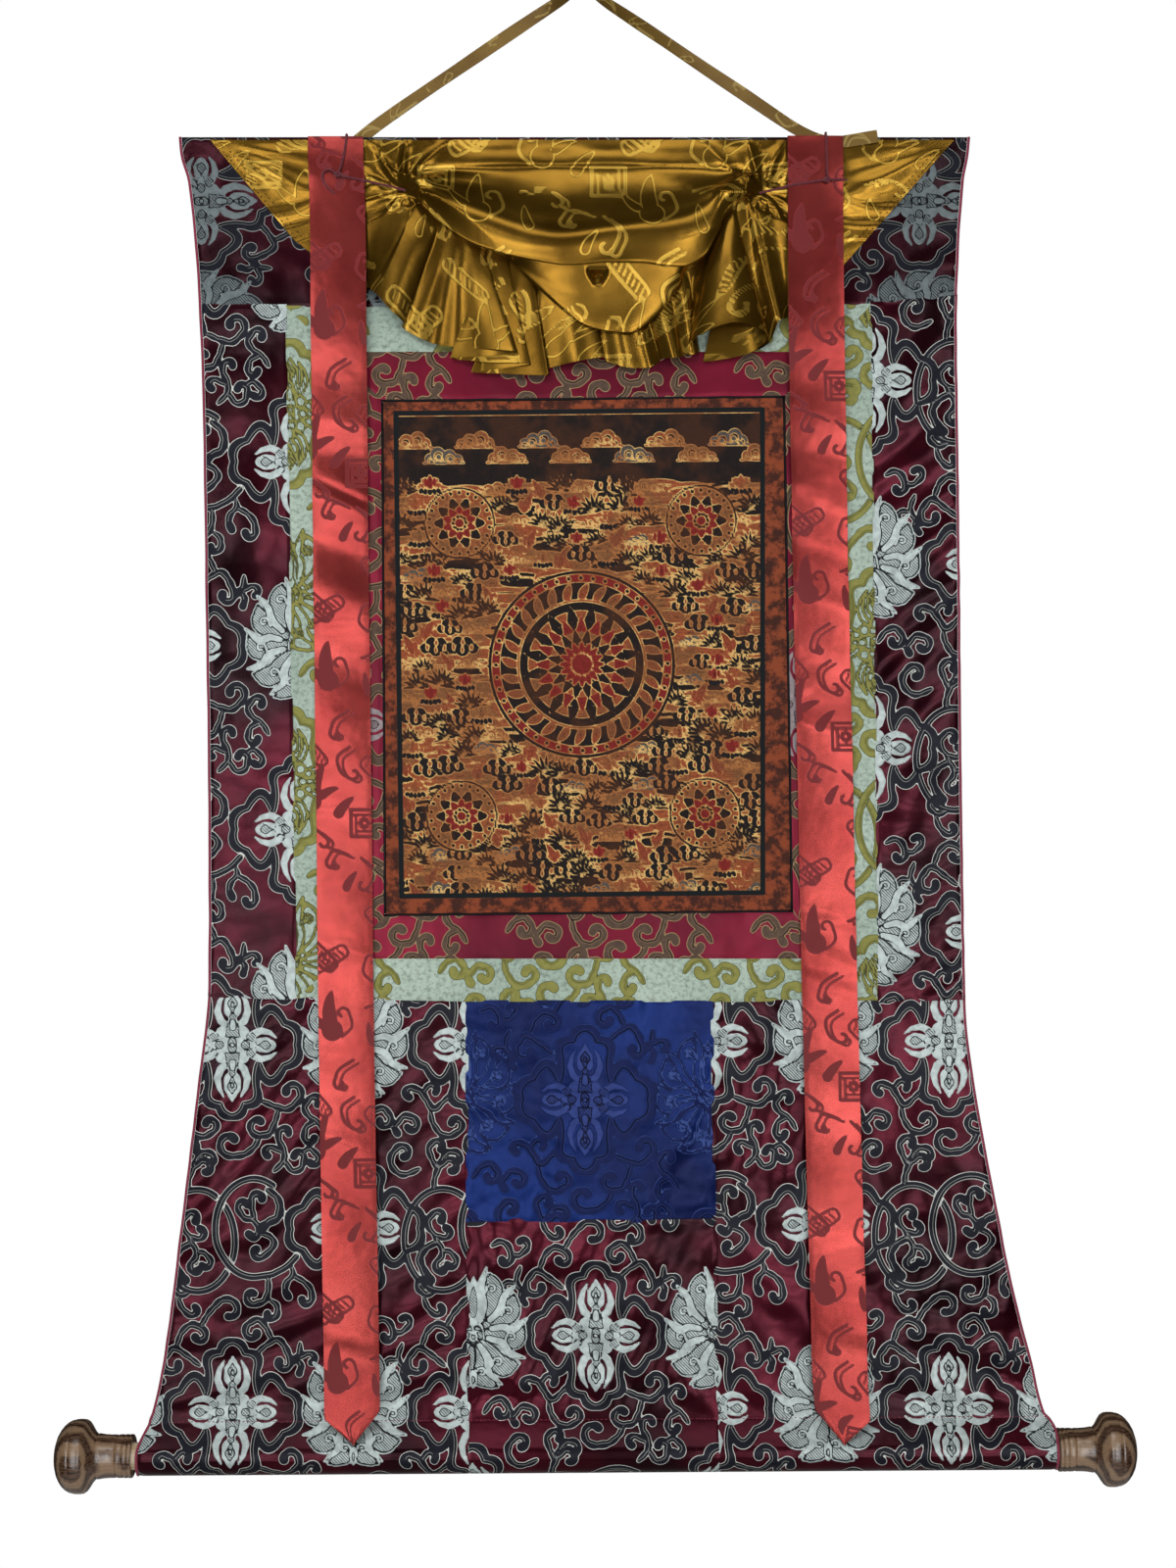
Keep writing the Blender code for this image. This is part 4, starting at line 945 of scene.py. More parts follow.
# The mount's two long edges and the skirt's two seams: z, x
LEFT_EDGE = ((MOUNT_TOP, -394), (-166, -392), (-190, -385), (-300, -375), (-450, -369.5), (-970, -365),
             (-1072, -375), (-1225, -393.5), (-1331, -407.5), (-1390, -419.5), (-1426, -433.5),
             (-1470, -433.5))
RIGHT_EDGE = ((MOUNT_TOP, 379), (-166, 377), (-188, 373), (-260, 368), (-330, 366), (-490, 367.5),
              (-970, 374), (-1025, 376.5), (-1113, 389.5), (-1257, 417.5), (-1346, 440),
              (-1390, 451), (-1413, 462.8), (-1470, 462.8))
SEAM_LEFT = ((-985, -112.5), (-1204, -112), (-1470, -109.5))
SEAM_RIGHT = ((-985, 126.5), (-1204, 129.5), (-1470, 133.5))
PATCH_BOTTOM = -1204.0
ROD_THICK = 34.0
CRUMPLE = 1.8                # how deep the brocade is creased


def follow(table, at, column=1):
    """A column of a table at a place in its first column, on a smooth curve through its rows."""
    rows = table[::-1] if table[0][0] > table[-1][0] else table
    at = min(max(at, rows[0][0]), rows[-1][0])
    i = max(k for k in range(len(rows) - 1) if rows[k][0] <= at)
    a, b = rows[i], rows[i + 1]
    before, after = rows[max(i - 1, 0)], rows[min(i + 2, len(rows) - 1)]
    span = b[0] - a[0]
    rise = (b[column] - a[column]) / span
    into = (b[column] - before[column]) / (b[0] - before[0])
    out = (after[column] - a[column]) / (after[0] - a[0])
    if (a[column] - before[column]) * rise <= 0:
        into = 0.0 if i else rise
    if (after[column] - b[column]) * rise <= 0:
        out = 0.0 if after is not b else rise
    t = (at - a[0]) / span
    return ((2 * t ** 3 - 3 * t ** 2 + 1) * a[column] + (t ** 3 - 2 * t ** 2 + t) * span * into
            + (3 * t ** 2 - 2 * t ** 3) * b[column] + (t ** 3 - t ** 2) * span * out)


def reader(table, column=1, offset=0.0):
    """The same for whole arrays of places."""
    low, high = sorted((table[0][0], table[-1][0]))
    places = np.arange(low, high + 1.0, 1.0)
    values = np.array([follow(table, p, column) for p in places]) + offset
    return lambda at: np.interp(at, places, values)


def seam_line(table, offset):
    """The height of a seam at each place across, straight between its table's points."""
    places, levels = zip(*sorted(table))
    return lambda at: np.interp(at, places, levels) + offset


LAP = 1.5                    # each piece reaches this far past its seam line
outer_left, outer_right = reader(LEFT_EDGE, offset=PIPING + 0.2), reader(RIGHT_EDGE, offset=-PIPING - 0.2)
seam_left = (reader(SEAM_LEFT, offset=LAP), reader(SEAM_LEFT, offset=-LAP))
seam_right = (reader(SEAM_RIGHT, offset=LAP), reader(SEAM_RIGHT, offset=-LAP))


def green_side(corner, foot, offset):
    """A side of the green frame, straight between two of its corners."""
    return lambda z: corner[0] + (foot[0] - corner[0]) * (z - corner[1]) / (foot[1] - corner[1]) + offset


def level(height):
    """A cross edge that lies level."""
    return lambda x: np.full_like(x, height)


def spread(left, right, top, bottom, columns, rows):
    """Columns and rows of points between two side edges and two cross edges."""
    s, t = np.meshgrid(columns, np.linspace(0, 1, rows + 1))
    x = left(np.full_like(s, -600.0)) * (1 - s) + right(np.full_like(s, -600.0)) * s
    for _ in range(4):
        z = top(x) * (1 - t) + bottom(x) * t
        x = left(z) * (1 - s) + right(z) * s
    return x, z


def crumple(x, z, seed):
    """Small soft creases, a few long waves of unequal strength."""
    dice = np.random.default_rng(seed)
    total = np.zeros_like(x)
    for _ in range(7):
        angle, length, shift = dice.uniform(0, math.pi), dice.uniform(24, 90), dice.uniform(0, 6.28)
        wave = np.sin((x * math.cos(angle) + z * math.sin(angle)) * 2 * math.pi / length + shift)
        patch = np.sin(x / dice.uniform(60, 120) + shift) * np.sin(z / dice.uniform(60, 120) - shift)
        total += wave * (0.4 + 0.6 * patch)
    return CRUMPLE * total / 2.2


def settle_at_edges(x, z):
    """How free the cloth is to crease: nothing at the mount's top and at the pocket's stitches."""
    return ease((z - crease_line(x)) / 30) * ease((MOUNT_TOP - z) / 20)


def pocket(left, right, s):
    """Points of the pocket, from the stitches down the front and round the rod to the back."""
    radius = ROD_THICK / 2 + 0.3 + BROCADE_THICK / 2
    leave = math.acos(radius / CREASE_RISE)
    straight = math.sqrt(CREASE_RISE ** 2 - radius ** 2)
    total = 2 * straight + radius * (2 * math.pi - 2 * leave)
    section = []
    # Fine steps down the front, where they show, and wide ones behind
    lengths = np.concatenate([np.linspace(0, 70, 41)[1:], np.linspace(70, total, 13)[1:]])
    for run in lengths:
        if straight <= run < total - straight:
            angle = leave + (run - straight) / radius
            section.append((radius * math.cos(angle), radius * math.sin(angle)))
            continue
        share = run / straight if run < straight else (total - run) / straight
        up = CREASE_RISE + (radius * math.cos(leave) - CREASE_RISE) * share
        forward = radius * math.sin(leave) * share
        if run < straight:
            section.append((up, forward - 0.5 * math.sin(math.pi * share)))
        else:
            section.append((up, -forward - 1.7 * (1 - share)))
    rows = []
    for up, forward in section:
        z0 = ROD_HEIGHT + up
        x = left(np.full_like(s, z0)) * (1 - s) + right(np.full_like(s, z0)) * s
        rows.append((x, np.full_like(s, forward), ROD_HEIGHT + ROD_TILT * x + up))
    return [np.array(part) for part in zip(*rows)], lengths


def add_panel(name, node, edges, columns, rows, centre, seed, layer=0.0, material=maroon, slot="brocade",
              turned=False, round_rod=False, lined_from=math.inf):
    """A panel between its left, right, top and bottom edges, with a cloud frame at its centre. The
    layer sets it forward of its neighbours, since no two lie at one depth in a seam."""
    left, right, top, bottom = edges
    s = columns if hasattr(columns, "__len__") else np.linspace(0, 1, columns + 1)
    x, z = spread(left, right, top, bottom, s, rows)
    loose = ease((np.abs(x) - 230) / 40) if turned else 1.0
    forward = swell(x, z) + crumple(x, z, seed) * settle_at_edges(x, z) * loose + layer
    lie = z.copy()
    if round_rod:
        (px, pf, pz), run = pocket(left, right, s)
        lie = np.concatenate([lie, np.repeat(z[-1:], len(px), axis=0) - run[:, None]])
        x, forward, z = np.concatenate([x, px]), np.concatenate([forward, pf]), np.concatenate([z, pz])
    made = woven_piece(name, x, forward, z, BROCADE_THICK, (x, lie),
                       woven_marks(x, lie, centre, turned, lined_from))
    hand_over(made, material, slot, node)
    return x, forward, z


blue = brocade_finish("blue_damask",
                      ((13, 44, 116), (5, 20, 70), (14, 30, 88), (4, 8, 36), (62, 84, 150),
                       (54, 72, 142), (6, 10, 44), (50, 60, 100)), gloss=0.34, metal=0.3, relief=0.0014)
heading_foot, side_top = seam_line(HEADING_SEAM, -LAP), seam_line(HEADING_SEAM, LAP)
side_foot, skirt_top = seam_line(SKIRT_SEAM, -LAP), seam_line(SKIRT_SEAM, LAP)
green_left = green_side(GREEN_OUTER[0], GREEN_OUTER[3], LAP)
green_right = green_side(GREEN_OUTER[1], GREEN_OUTER[2], -LAP)
# The heading's columns stand wider apart in its middle, behind the veil
hidden_middle = np.concatenate([np.linspace(0, 0.2, 85), np.linspace(0.2, 0.8, 53)[1:],
                                np.linspace(0.8, 1, 85)[1:]])
heading = add_panel("heading_brocade", "heading_panel",
                    (outer_left, outer_right, level(MOUNT_TOP - 0.4), heading_foot),
                    hidden_middle, 92, (-372.0, -208.6), 3, material=maroon_shaded, turned=True)
side_l = add_panel("side_brocade_left", "side_panel_left", (outer_left, green_left, side_top, side_foot),
                   52, 376, (-396.2, -643.0), 4, 0.15)
side_r = add_panel("side_brocade_right", "side_panel_right", (green_right, outer_right, side_top, side_foot),
                   52, 376, (398.1, -563.5), 5, 0.15)
skirt_l = add_panel("skirt_brocade_left", "skirt_left", (outer_left, seam_left[0], skirt_top, crease_line),
                    168, 224, (-341.2, -1391.5), 6, round_rod=True)
add_panel("skirt_brocade_centre", "skirt_centre",
          (seam_left[1], seam_right[0], level(PATCH_BOTTOM + LAP), crease_line),
          136, 104, (13.4, -1316.1), 7, 0.15, round_rod=True)
skirt_r = add_panel("skirt_brocade_right", "skirt_right",
                    (seam_right[1], outer_right, skirt_top, crease_line),
                    168, 224, (357.9, -1387.6), 8, round_rod=True)
add_panel("blue_door", "door_patch", (seam_left[1], seam_right[0], skirt_top, level(PATCH_BOTTOM - LAP)),
          136, 120, (2.9, -1086.2), 9, 0.3, blue, "blue_damask", lined_from=57.0)

# The row of stitches that closes the pocket above the rod, in crimson thread. The tree lays one
# stitch of thread at each step along a line of edges.
sewing_tree = bpy.data.node_groups.new("stitches_along_a_line", "GeometryNodeTree")
SEWING = {}
for title, kind, value in (("Line", "Geometry", None), ("Spacing", "Float", 0.0045),
                           ("Stitch Length", "Float", 0.003), ("Thread Radius", "Float", 0.0004),
                           ("Wander", "Float", 0.0002), ("Thread Finish", "Material", None)):
    socket = sewing_tree.interface.new_socket(title, in_out="INPUT", socket_type="NodeSocket" + kind)
    SEWING[title] = socket.identifier
    if value:
        socket.default_value = value
sewing_tree.interface.new_socket("Stitches", in_out="OUTPUT", socket_type="NodeSocketGeometry")
sew = Finish("", sewing_tree)
given = sewing_tree.nodes.new("NodeGroupInput").outputs
result = sewing_tree.nodes.new("NodeGroupOutput")
line = sew.add("GeometryNodeMeshToCurve", Mesh=given["Line"]).outputs[0]
line = sew.add("GeometryNodeResampleCurve", {"mode": "LENGTH"}, Curve=line,
               Length=given["Spacing"]).outputs[0]
aside = sew.add("FunctionNodeRandomValue", {"data_type": "FLOAT_VECTOR"}, i0=(-1, -0.2, -1), i1=(1, 0.2, 1),
                Seed=7).outputs["Value"]
aside = sew.add("ShaderNodeVectorMath", {"operation": "SCALE"}, i0=aside, Scale=given["Wander"]).outputs[0]
line = sew.add("GeometryNodeSetPosition", Geometry=line, Offset=aside).outputs[0]
ahead = sew.add("GeometryNodeInputTangent").outputs[0]
turn = sew.add("FunctionNodeAlignRotationToVector", {"axis": "X"}, Vector=ahead).outputs[0]
bead = sew.add("GeometryNodeMeshUVSphere", Segments=8, Rings=5, Radius=given["Thread Radius"]).outputs[0]
longer = sew.math("DIVIDE", given["Stitch Length"], sew.times(given["Thread Radius"], 2.0))
stitch = sew.add("ShaderNodeCombineXYZ", X=longer, Y=1.0, Z=1.0).outputs[0]
laid = sew.add("GeometryNodeInstanceOnPoints", Points=line, Instance=bead, Rotation=turn,
               Scale=stitch).outputs[0]
laid = sew.add("GeometryNodeRealizeInstances", Geometry=laid).outputs[0]
laid = sew.add("GeometryNodeSetShadeSmooth", Geometry=laid).outputs[0]
laid = sew.add("GeometryNodeSetMaterial", Geometry=laid, Material=given["Thread Finish"]).outputs[0]
sewing_tree.links.new(laid, result.inputs["Stitches"])


def thread_finish(name, dark, light):
    """Spun thread, a little darker and lighter along its run."""
    made = Finish(name, Roughness=0.5, Specular_IOR_Level=0.3)
    fibre = made.noise(made.place(), 900.0, 2.0, 0.6)
    return made.put(Base_Color=made.mix(made.between(fibre, 0.35, 0.65), dark, light),
                    Normal=made.bump(fibre, 0.0001, 0.5))


def sewn(name, lines, finish, slot, **sizes):
    """Stitches along lines of points in millimetres (x, forward, z), as one plain mesh."""
    verts, edges = [], []
    for points in lines:
        edges += [(len(verts) + k, len(verts) + k + 1) for k in range(len(points) - 1)]
        verts += [(x * MM, -f * MM, z * MM) for x, f, z in points]
    guide = bpy.data.meshes.new(name + "_line")
    guide.from_pydata(verts, edges, [])
    made = placed(name, guide)
    modifier = made.modifiers.new("stitches", "NODES")
    modifier.node_group = sewing_tree
    for title, value in sizes.items():
        modifier[SEWING[title.replace("_", " ")]] = value
    modifier[SEWING["Thread Finish"]] = finish
    mesh = bpy.data.meshes.new_from_object(made.evaluated_get(bpy.context.evaluated_depsgraph_get()))
    mesh.name = name
    mesh.materials.clear()
    mesh.materials.append(finish)
    mesh.polygons.foreach_set("material_index", [0] * len(mesh.polygons))
    made.modifiers.clear()
    made.data = mesh
    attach(made, "root")


crimson_thread = thread_finish("crimson_thread", colour(88, 16, 36), colour(150, 44, 66))
closing = []
for x in np.arange(-402.0, 448.0, 6.0):
    height = float(crease_line(x)) + 1.0
    closing.append((x, float(swell(x, height)) + 0.75, height))
sewn("pocket_stitching", [closing], crimson_thread, "crimson_binding",
     Spacing=0.0042, Stitch_Length=0.0028, Thread_Radius=0.0004)

# ----------------------------------------
# The crimson binding: a fine ribbed cord, sewn down both long edges of the mount and on round the
# pocket's front.
# ----------------------------------------
binding = Finish("crimson_binding", Roughness=0.5, Specular_IOR_Level=0.4, Sheen_Weight=0.2)
run = binding.add("ShaderNodeSeparateXYZ", Vector=binding.cloth()).outputs["Y"]
rib = binding.math("SINE", binding.times(run, 2600.0))
# Darker in the grooves between the ribs and lighter on their crests: painted shade and highlight
binding.put(Base_Color=binding.mix(binding.between(rib, -1, 1), colour(120, 22, 52), colour(170, 52, 84)),
            Normal=binding.bump(rib, 0.0001, 0.6))
for side, column, shift, panels in (("left", 0, -1, (heading, side_l, skirt_l)),
                                    ("right", -1, 1, (heading, side_r, skirt_r))):
    route = []
    for n, (x, forward, z) in enumerate(panels):
        last = len(x) - 18 if n == 2 else len(x)
        route += [(x[k, column], forward[k, column], z[k, column]) for k in range(0, last, 3)]
    route = [(x + shift * (PIPING / 2 + 0.2), f, z) for x, f, z in route]
    route[0] = (route[0][0], route[0][1], MOUNT_TOP - 0.2)
    made = cord_mesh(f"corded_binding_{side}", route, PIPING / 2, 8)
    hand_over(made, binding.material, "crimson_binding", f"edge_binding_{side}")

# ----------------------------------------
# The roller: a pale softwood rod in the pocket, which keeps the shape of its solid. On the tenon at
# each end sits a finial of dark hardwood, turned, polished and a little worn.
# ----------------------------------------
# A finial's outline: distance from its inner face and radius; and its socket's depth and radius
PROFILE = (
    (0, 19.6), (0.5, 20.4), (1.2, 20.7), (2.9, 20.7), (3.5, 20.1), (3.9, 19.6), (4.3, 20.1), (4.9, 20.6),
    (7.6, 20.6), (8.3, 20.2), (8.8, 19.6), (9.3, 20.2), (10, 20.6), (14, 20.4), (15, 20.1), (15.6, 19.5),
    (16.2, 20.1), (17, 20.4), (22, 20.4), (28, 20.8), (33.4, 21.7), (34.3, 21.4), (34.8, 20.9),
    (35.3, 21.5), (36.6, 22.6), (38.6, 24.6), (40.6, 27.6), (42.6, 30.8), (44.6, 33.4), (47, 34.9),
    (50, 35.3), (54, 35.3), (56.6, 35.0), (57.4, 34.4), (58, 34.2), (58.8, 34.5), (61, 33.8), (64, 32.2),
    (67, 29.6), (70, 25.8), (72.5, 21.4), (74.6, 15.4), (75.8, 9.5), (76.4, 4.0))
SOCKET = (20.0, 13.3)


def grain(name, dark, mid, light, rough, ring_scale, coat=0.0):
    """Wood: rings about the piece's own length, long pores and a little wear."""
    made = Finish(name, Specular_IOR_Level=0.45, Coat_Weight=coat, Coat_Roughness=0.25)
    place = made.place()
    stretched = made.add("ShaderNodeMapping", Vector=place, Scale=(6.0, 60.0, 60.0)).outputs[0]
    fibre = made.noise(stretched, 9.0, 5.0, 0.65)
    bands = made.add("ShaderNodeTexWave", {"wave_type": "BANDS", "bands_direction": "Y"}, Vector=place,
                     Scale=ring_scale, Distortion=5.0, Detail=3.0, Detail_Scale=1.2).outputs["Fac"]
    base = made.mix(made.between(fibre, 0.34, 0.66), dark, mid)
    base = made.mix(made.times(made.between(bands, 0.3, 0.9), 0.6), base, light)
    return made.put(Base_Color=base, Roughness=made.between(fibre, 0.3, 0.7, rough - 0.1, rough + 0.12),
                    Normal=made.bump(fibre, 0.0003, 0.35))


hardwood = grain("turned_hardwood", colour(44, 28, 19), colour(106, 77, 57), colour(180, 148, 116),
                 0.27, 26.0, 0.8)
softwood = grain("pale_softwood", colour(214, 184, 144), colour(236, 214, 178), colour(246, 232, 208),
                 0.6, 40.0)
sides = 96
circle = [(math.cos(2 * math.pi * k / sides), math.sin(2 * math.pi * k / sides)) for k in range(sides)]
for side, face, sign in (("left", -438.0, -1), ("right", 463.8, 1)):
    work = bmesh.new()
    profile = [(SOCKET[0], 0.0), (SOCKET[0], SOCKET[1]), (0.4, SOCKET[1] + 0.1), (0.0, SOCKET[1] + 0.6)]
    profile += list(PROFILE) + [(76.5, 0.0)]
    start, end = work.verts.new((profile[0][0], 0, 0)), work.verts.new((profile[-1][0], 0, 0))
    rings = [[work.verts.new((a, r * c, r * s)) for c, s in circle] for a, r in profile[1:-1]]
    for k in range(sides):
        n = (k + 1) % sides
        work.faces.new((start, rings[0][n], rings[0][k]))
        for near, far in zip(rings, rings[1:]):
            work.faces.new((near[k], near[n], far[n], far[k]))
        work.faces.new((end, rings[-1][k], rings[-1][n]))
    turn = Matrix.Rotation(-math.atan(ROD_TILT) + (math.pi if sign < 0 else 0), 4, "Y")
    seat = Matrix.Translation((face * MM, 0, (ROD_HEIGHT + ROD_TILT * face) * MM))
    work.transform(seat @ turn @ Matrix.Scale(MM, 4))
    bmesh.ops.recalc_face_normals(work, faces=work.faces)
    mesh = bpy.data.meshes.new(f"turned_finial_{side}")
    work.to_mesh(mesh)
    work.free()
    mesh.shade_smooth()
    mesh.set_sharp_from_angle(angle=math.radians(50))
    hand_over(placed(f"turned_finial_{side}", mesh), hardwood, "dark_wood", f"finial_{side}")
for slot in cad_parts["rod"].material_slots:
    slot.material = softwood

# ----------------------------------------
# The damask of the veil and the ribbons: satin with self-coloured motifs, here leaves, drops,
# gourds, ribbed ribbons and key-fret squares, one repeat charted in millimetres.
# ----------------------------------------
damask = Chart(112.0, 284.0, 0.8)


def weave_in(path, half):
    damask.draw("motif", path, half, reach=4)


def ribbed(x, y, angle, length, half):
    """A long loop of ribbon with ribs across it."""
    turn = math.radians(angle)
    ahead, side = np.array([math.cos(turn), math.sin(turn)]), np.array([-math.sin(turn), math.cos(turn)])
    start = np.array([x, y]) - ahead * length / 2
    loop = [start + ahead * length * a + side * half * b
            for a, b in ((0.0, 0.0), (0.06, 0.9), (0.5, 1.05), (0.94, 0.9), (1.0, 0.0), (0.94, -0.9),
                         (0.5, -1.05), (0.06, -0.9), (0, 0))]
    weave_in(through(loop), 1.0)
    slant = ahead + side * half * 0.5
    for k in np.arange(5, length - 3, 4.2):
        weave_in([start + ahead * k - slant, start + ahead * k + slant], 0.8)


def fret(x, y, size):
    """A key-fret square, the same seen from all four sides."""
    h = size / 2
    square = ((-1, -1), (1, -1), (1, 1), (-1, 1), (-1, -1))
    for half in (h, h * 0.24):
        weave_in([(x + a * half, y + b * half) for a, b in square], 1.2)
    for s, c in ((0, 1), (1, 0), (0, -1), (-1, 0)):
        bend = [(0.62, -1.0), (0.62, -0.62), (-0.62, -0.62)]
        weave_in([(x + h * (a * c + b * s), y + h * (b * c - a * s)) for a, b in bend], 0.9)
        weave_in([(x - h * b * s, y + h * b * c) for b in (0.24, 0.62)], 0.8)


def drop(x, y, angle, length, width):
    """A flame or a leaf, round at its foot and drawn out to a bent point."""
    t = np.linspace(0, 1, 9)
    weave_in(leaf_spine(x, y, angle, length, 0.25, t), width * (1 - t) ** 0.8 * (0.75 + 0.5 * t) + 0.4)


def gourd(x, y, size, lean):
    """A ball under a drop, with a leaf and a tendril."""
    weave_in([(x, y), (x + 0.1, y)], size * 0.5)
    drop(x + size * 0.1 * lean, y - size * 0.55, lean * 10, size * 1.3, size * 0.42)
    drop(x + size * 0.55 * lean, y - size * 0.3, lean * 52, size * 0.9, size * 0.26)
    tendril = ((-0.5, 0.3), (-0.95, -0.2), (-0.8, -0.9))
    weave_in(curled([(x + lean * size * a, y + size * b) for a, b in tendril], lean, size * 0.3), 1.1)


def streamer(points, curl=1):
    """Two curling lines beside each other."""
    weave_in(curled(points, curl, 5.0, 0.55), 1.2)
    weave_in(curled([(x + 4.5, y + 2.5) for x, y in points], curl, 4.0, 0.5), 0.96)


for cx, cy in ((0, 0), (56, 142)):
    ribbed(cx - 6, cy - 110, 42, 42, 6.0)
    ribbed(cx + 4, cy - 103, -30, 36, 5.4)
    fret(cx - 21, cy - 72, 22)
    gourd(cx + 7, cy - 46, 17, -1)
    streamer([(cx - 24, cy - 44), (cx - 14, cy - 32), (cx - 18, cy - 20)])
    streamer([(cx + 24, cy - 22), (cx + 12, cy - 14), (cx + 8, cy - 4)], -1)
    ribbed(cx - 8, cy + 10, 48, 34, 4.8)
    streamer([(cx + 24, cy + 8), (cx + 14, cy + 16), (cx + 16, cy + 28), (cx + 24, cy + 34)], -1)
    gourd(cx - 8, cy + 52, 16, 1)
    drop(cx + 14, cy + 62, 30, 18, 5.0)
    streamer([(cx - 22, cy + 78), (cx - 8, cy + 74), (cx + 4, cy + 82)])
    streamer([(cx + 22, cy + 96), (cx + 10, cy + 92), (cx + 4, cy + 100)], -1)
    drop(cx - 16, cy + 106, -25, 17, 4.4)
    drop(cx + 20, cy + 122, 20, 15, 4.0)

make, given, result = group_of("damask_motifs", {"Motif": 9.0}, ("Motif", "Line"))
filled = make.between(given["Motif"], -0.35, 0.45, 1.0, 0.0)
make.feed(result, "Motif", filled)
make.feed(result, "Line", make.times(filled, make.between(given["Motif"], -1.2, -0.7)))
damask_motifs = make.tree


def damask_finish(name, satin, satin_dark, motif, reverse, rough, motif_rough, metal, drawn, relief,
                  share_lost=0.8):
    """Satin with its motifs woven matt, as outlines where drawn is "Line"."""
    made = Finish(name, Specular_IOR_Level=0.3)
    cloth = made.cloth()
    seen = made.shared(damask_motifs, Motif=made.number("motif"))[drawn]
    weave = made.shared(threads, Place=cloth, **{"Per Metre": 2200.0})
    drift = made.noise(cloth, 11.0, 3.0, 0.6)
    base = made.mix(made.between(drift, 0.3, 0.7), satin_dark, satin)
    base = made.mix(seen, base, motif)
    base = made.mix(made.times(made.number("reverse"), 0.7), base, reverse)
    height = made.math("MULTIPLY_ADD", weave["Height"], 0.004, made.times(seen, -0.5))
    height = made.math("MULTIPLY_ADD", made.noise(cloth, 34.0, 2.0), relief, height)
    return made.put(Base_Color=base, Metallic=made.math("MULTIPLY_ADD", seen, -share_lost * metal, metal),
                    Roughness=made.math("MULTIPLY_ADD", seen, motif_rough - rough, rough),
                    Normal=made.bump(height, 0.00022, 0.9))


# ----------------------------------------
# The veil: a cloth of gold satin sewn along the mount's top edge, drawn up in the middle under
# the ribbons' ties, so that it hangs in a deep swag, a rolled lobe under it, and a ruffle behind.
# ----------------------------------------
# The swag's lower edge and the lobe's: x, z
SWAG = ((-201, -184), (-179, -197), (-165, -208), (-143, -230), (-113, -252), (-80, -265), (-43, -274),
        (-13, -278), (26, -275), (56, -275), (84, -278), (102, -277), (114, -270), (125, -258),
        (131, -242), (137, -229), (149, -217), (174, -203), (196, -190))
LOBE = ((-75, -265), (-43, -296), (-13, -323), (7, -334), (26, -338), (46, -339), (61, -332), (75, -321),
        (89, -303), (102, -279))
VEIL_TOP, STRIP_BOTTOM, SWAG_FORWARD = -149.6, -182.0, 22.0
# Folds of the two ends: x at the top; x, z and forward at the ties; x, z and forward at the hem
LEFT_END = ((-363, -281, -247, 2.6, -214, -303, 5.0), (-336, -260, -241, 2.8, -213, -300, 4.0),
            (-310, -240, -234, 3.2, -211, -298, 3.6), (-284, -220, -229, 4.2, -210, -296, 6.0),
            (-260, -201, -223, 5.6, -209, -295, 9.0), (-238, -182, -216, 7.5, -207, -296, 12.0),
            (-219, -163, -211, 9.5, -204, -299, 16.0))
RIGHT_END = ((209, 167, -210, 9.5, 198, -325, 9.0), (237, 188, -220, 6.0, 203, -321, 5.0),
             (269, 211, -230, 4.4, 209, -315, 7.0), (302, 235, -239, 3.4, 216, -309, 4.5),
             (336, 256, -245, 2.8, 224, -302, 5.5), (363, 278, -246, 2.6, 232, -298, 4.0))
# Folds of the ruffle: x where it leaves the swag; x, z and forward at its hem
RUFFLE = (
    (-158, -197, -306, 22.0), (-150, -186, -319, 26.0), (-141, -173, -331, 20.0), (-136, -175, -334, 10.0),
    (-130, -160, -343, 8.0), (-122, -142, -351, 12.0), (-115, -120, -353, 8.0), (-108, -90, -356, 15.0),
    (-99, -64, -360, 19.5), (-94, -90, -362, 12.0), (-90, -128, -364, 9.5), (-83, -92, -368, 10.0),
    (-75, -51, -370, 14.0), (-70, -80, -374, 8.5), (-66, -108, -377, 7.0), (-60, -72, -379, 8.0),
    (-52, -33, -381, 12.0), (-44, -41, -376, 4.2), (-34, -24, -371, 7.5), (-20, -2, -367, 13.0),
    (-4, 20, -363, 9.0), (8, 24, -366, 4.2), (23, 44, -373, 9.5), (38, 66, -372, 5.0), (48, 76, -367, 14.0),
    (57, 70, -364, 5.0), (67, 88, -365, 17.0), (77, 98, -363, 11.5), (87, 90, -360, 6.0),
    (95, 108, -361, 14.0), (103, 114, -356, 5.0), (112, 106, -352, 9.0), (121, 104, -350, 17.0),
    (129, 116, -343, 28.0), (136, 145, -334, 34.0), (143, 171, -338, 27.0), (147, 179, -346, 16.0),
    (150, 160, -360, 8.0), (153, 118, -367, 6.0), (155, 150, -362, 4.5), (157, 180, -350, 6.0),
    (160, 190, -330, 14.0))
VEIL_FORWARD = 1.9           # how far forward the veil's top edge lies


def end_column(fold):
    """Down one of the two ends, from the top edge to the ties and on to the hem."""
    top_x, waist_x, waist_z, waist_forward, hem_x, hem_z, hem_forward = fold
    column = []
    for part in (0, 0.15, 0.28, 0.40, 0.52, 0.62, 0.70, 0.78, 0.85, 0.91, 0.96, 1.0):
        column.append((top_x + (waist_x - top_x) * part,
                       VEIL_FORWARD + (waist_forward - VEIL_FORWARD) * part ** 1.8,
                       VEIL_TOP + (waist_z - VEIL_TOP) * part))
    for part in (0.06, 0.14, 0.30, 0.52, 0.76, 1.0):
        column.append((waist_x + (hem_x - waist_x) * part,
                       waist_forward + (hem_forward - waist_forward) * part,
                       waist_z + (hem_z - waist_z) * part))
    return column


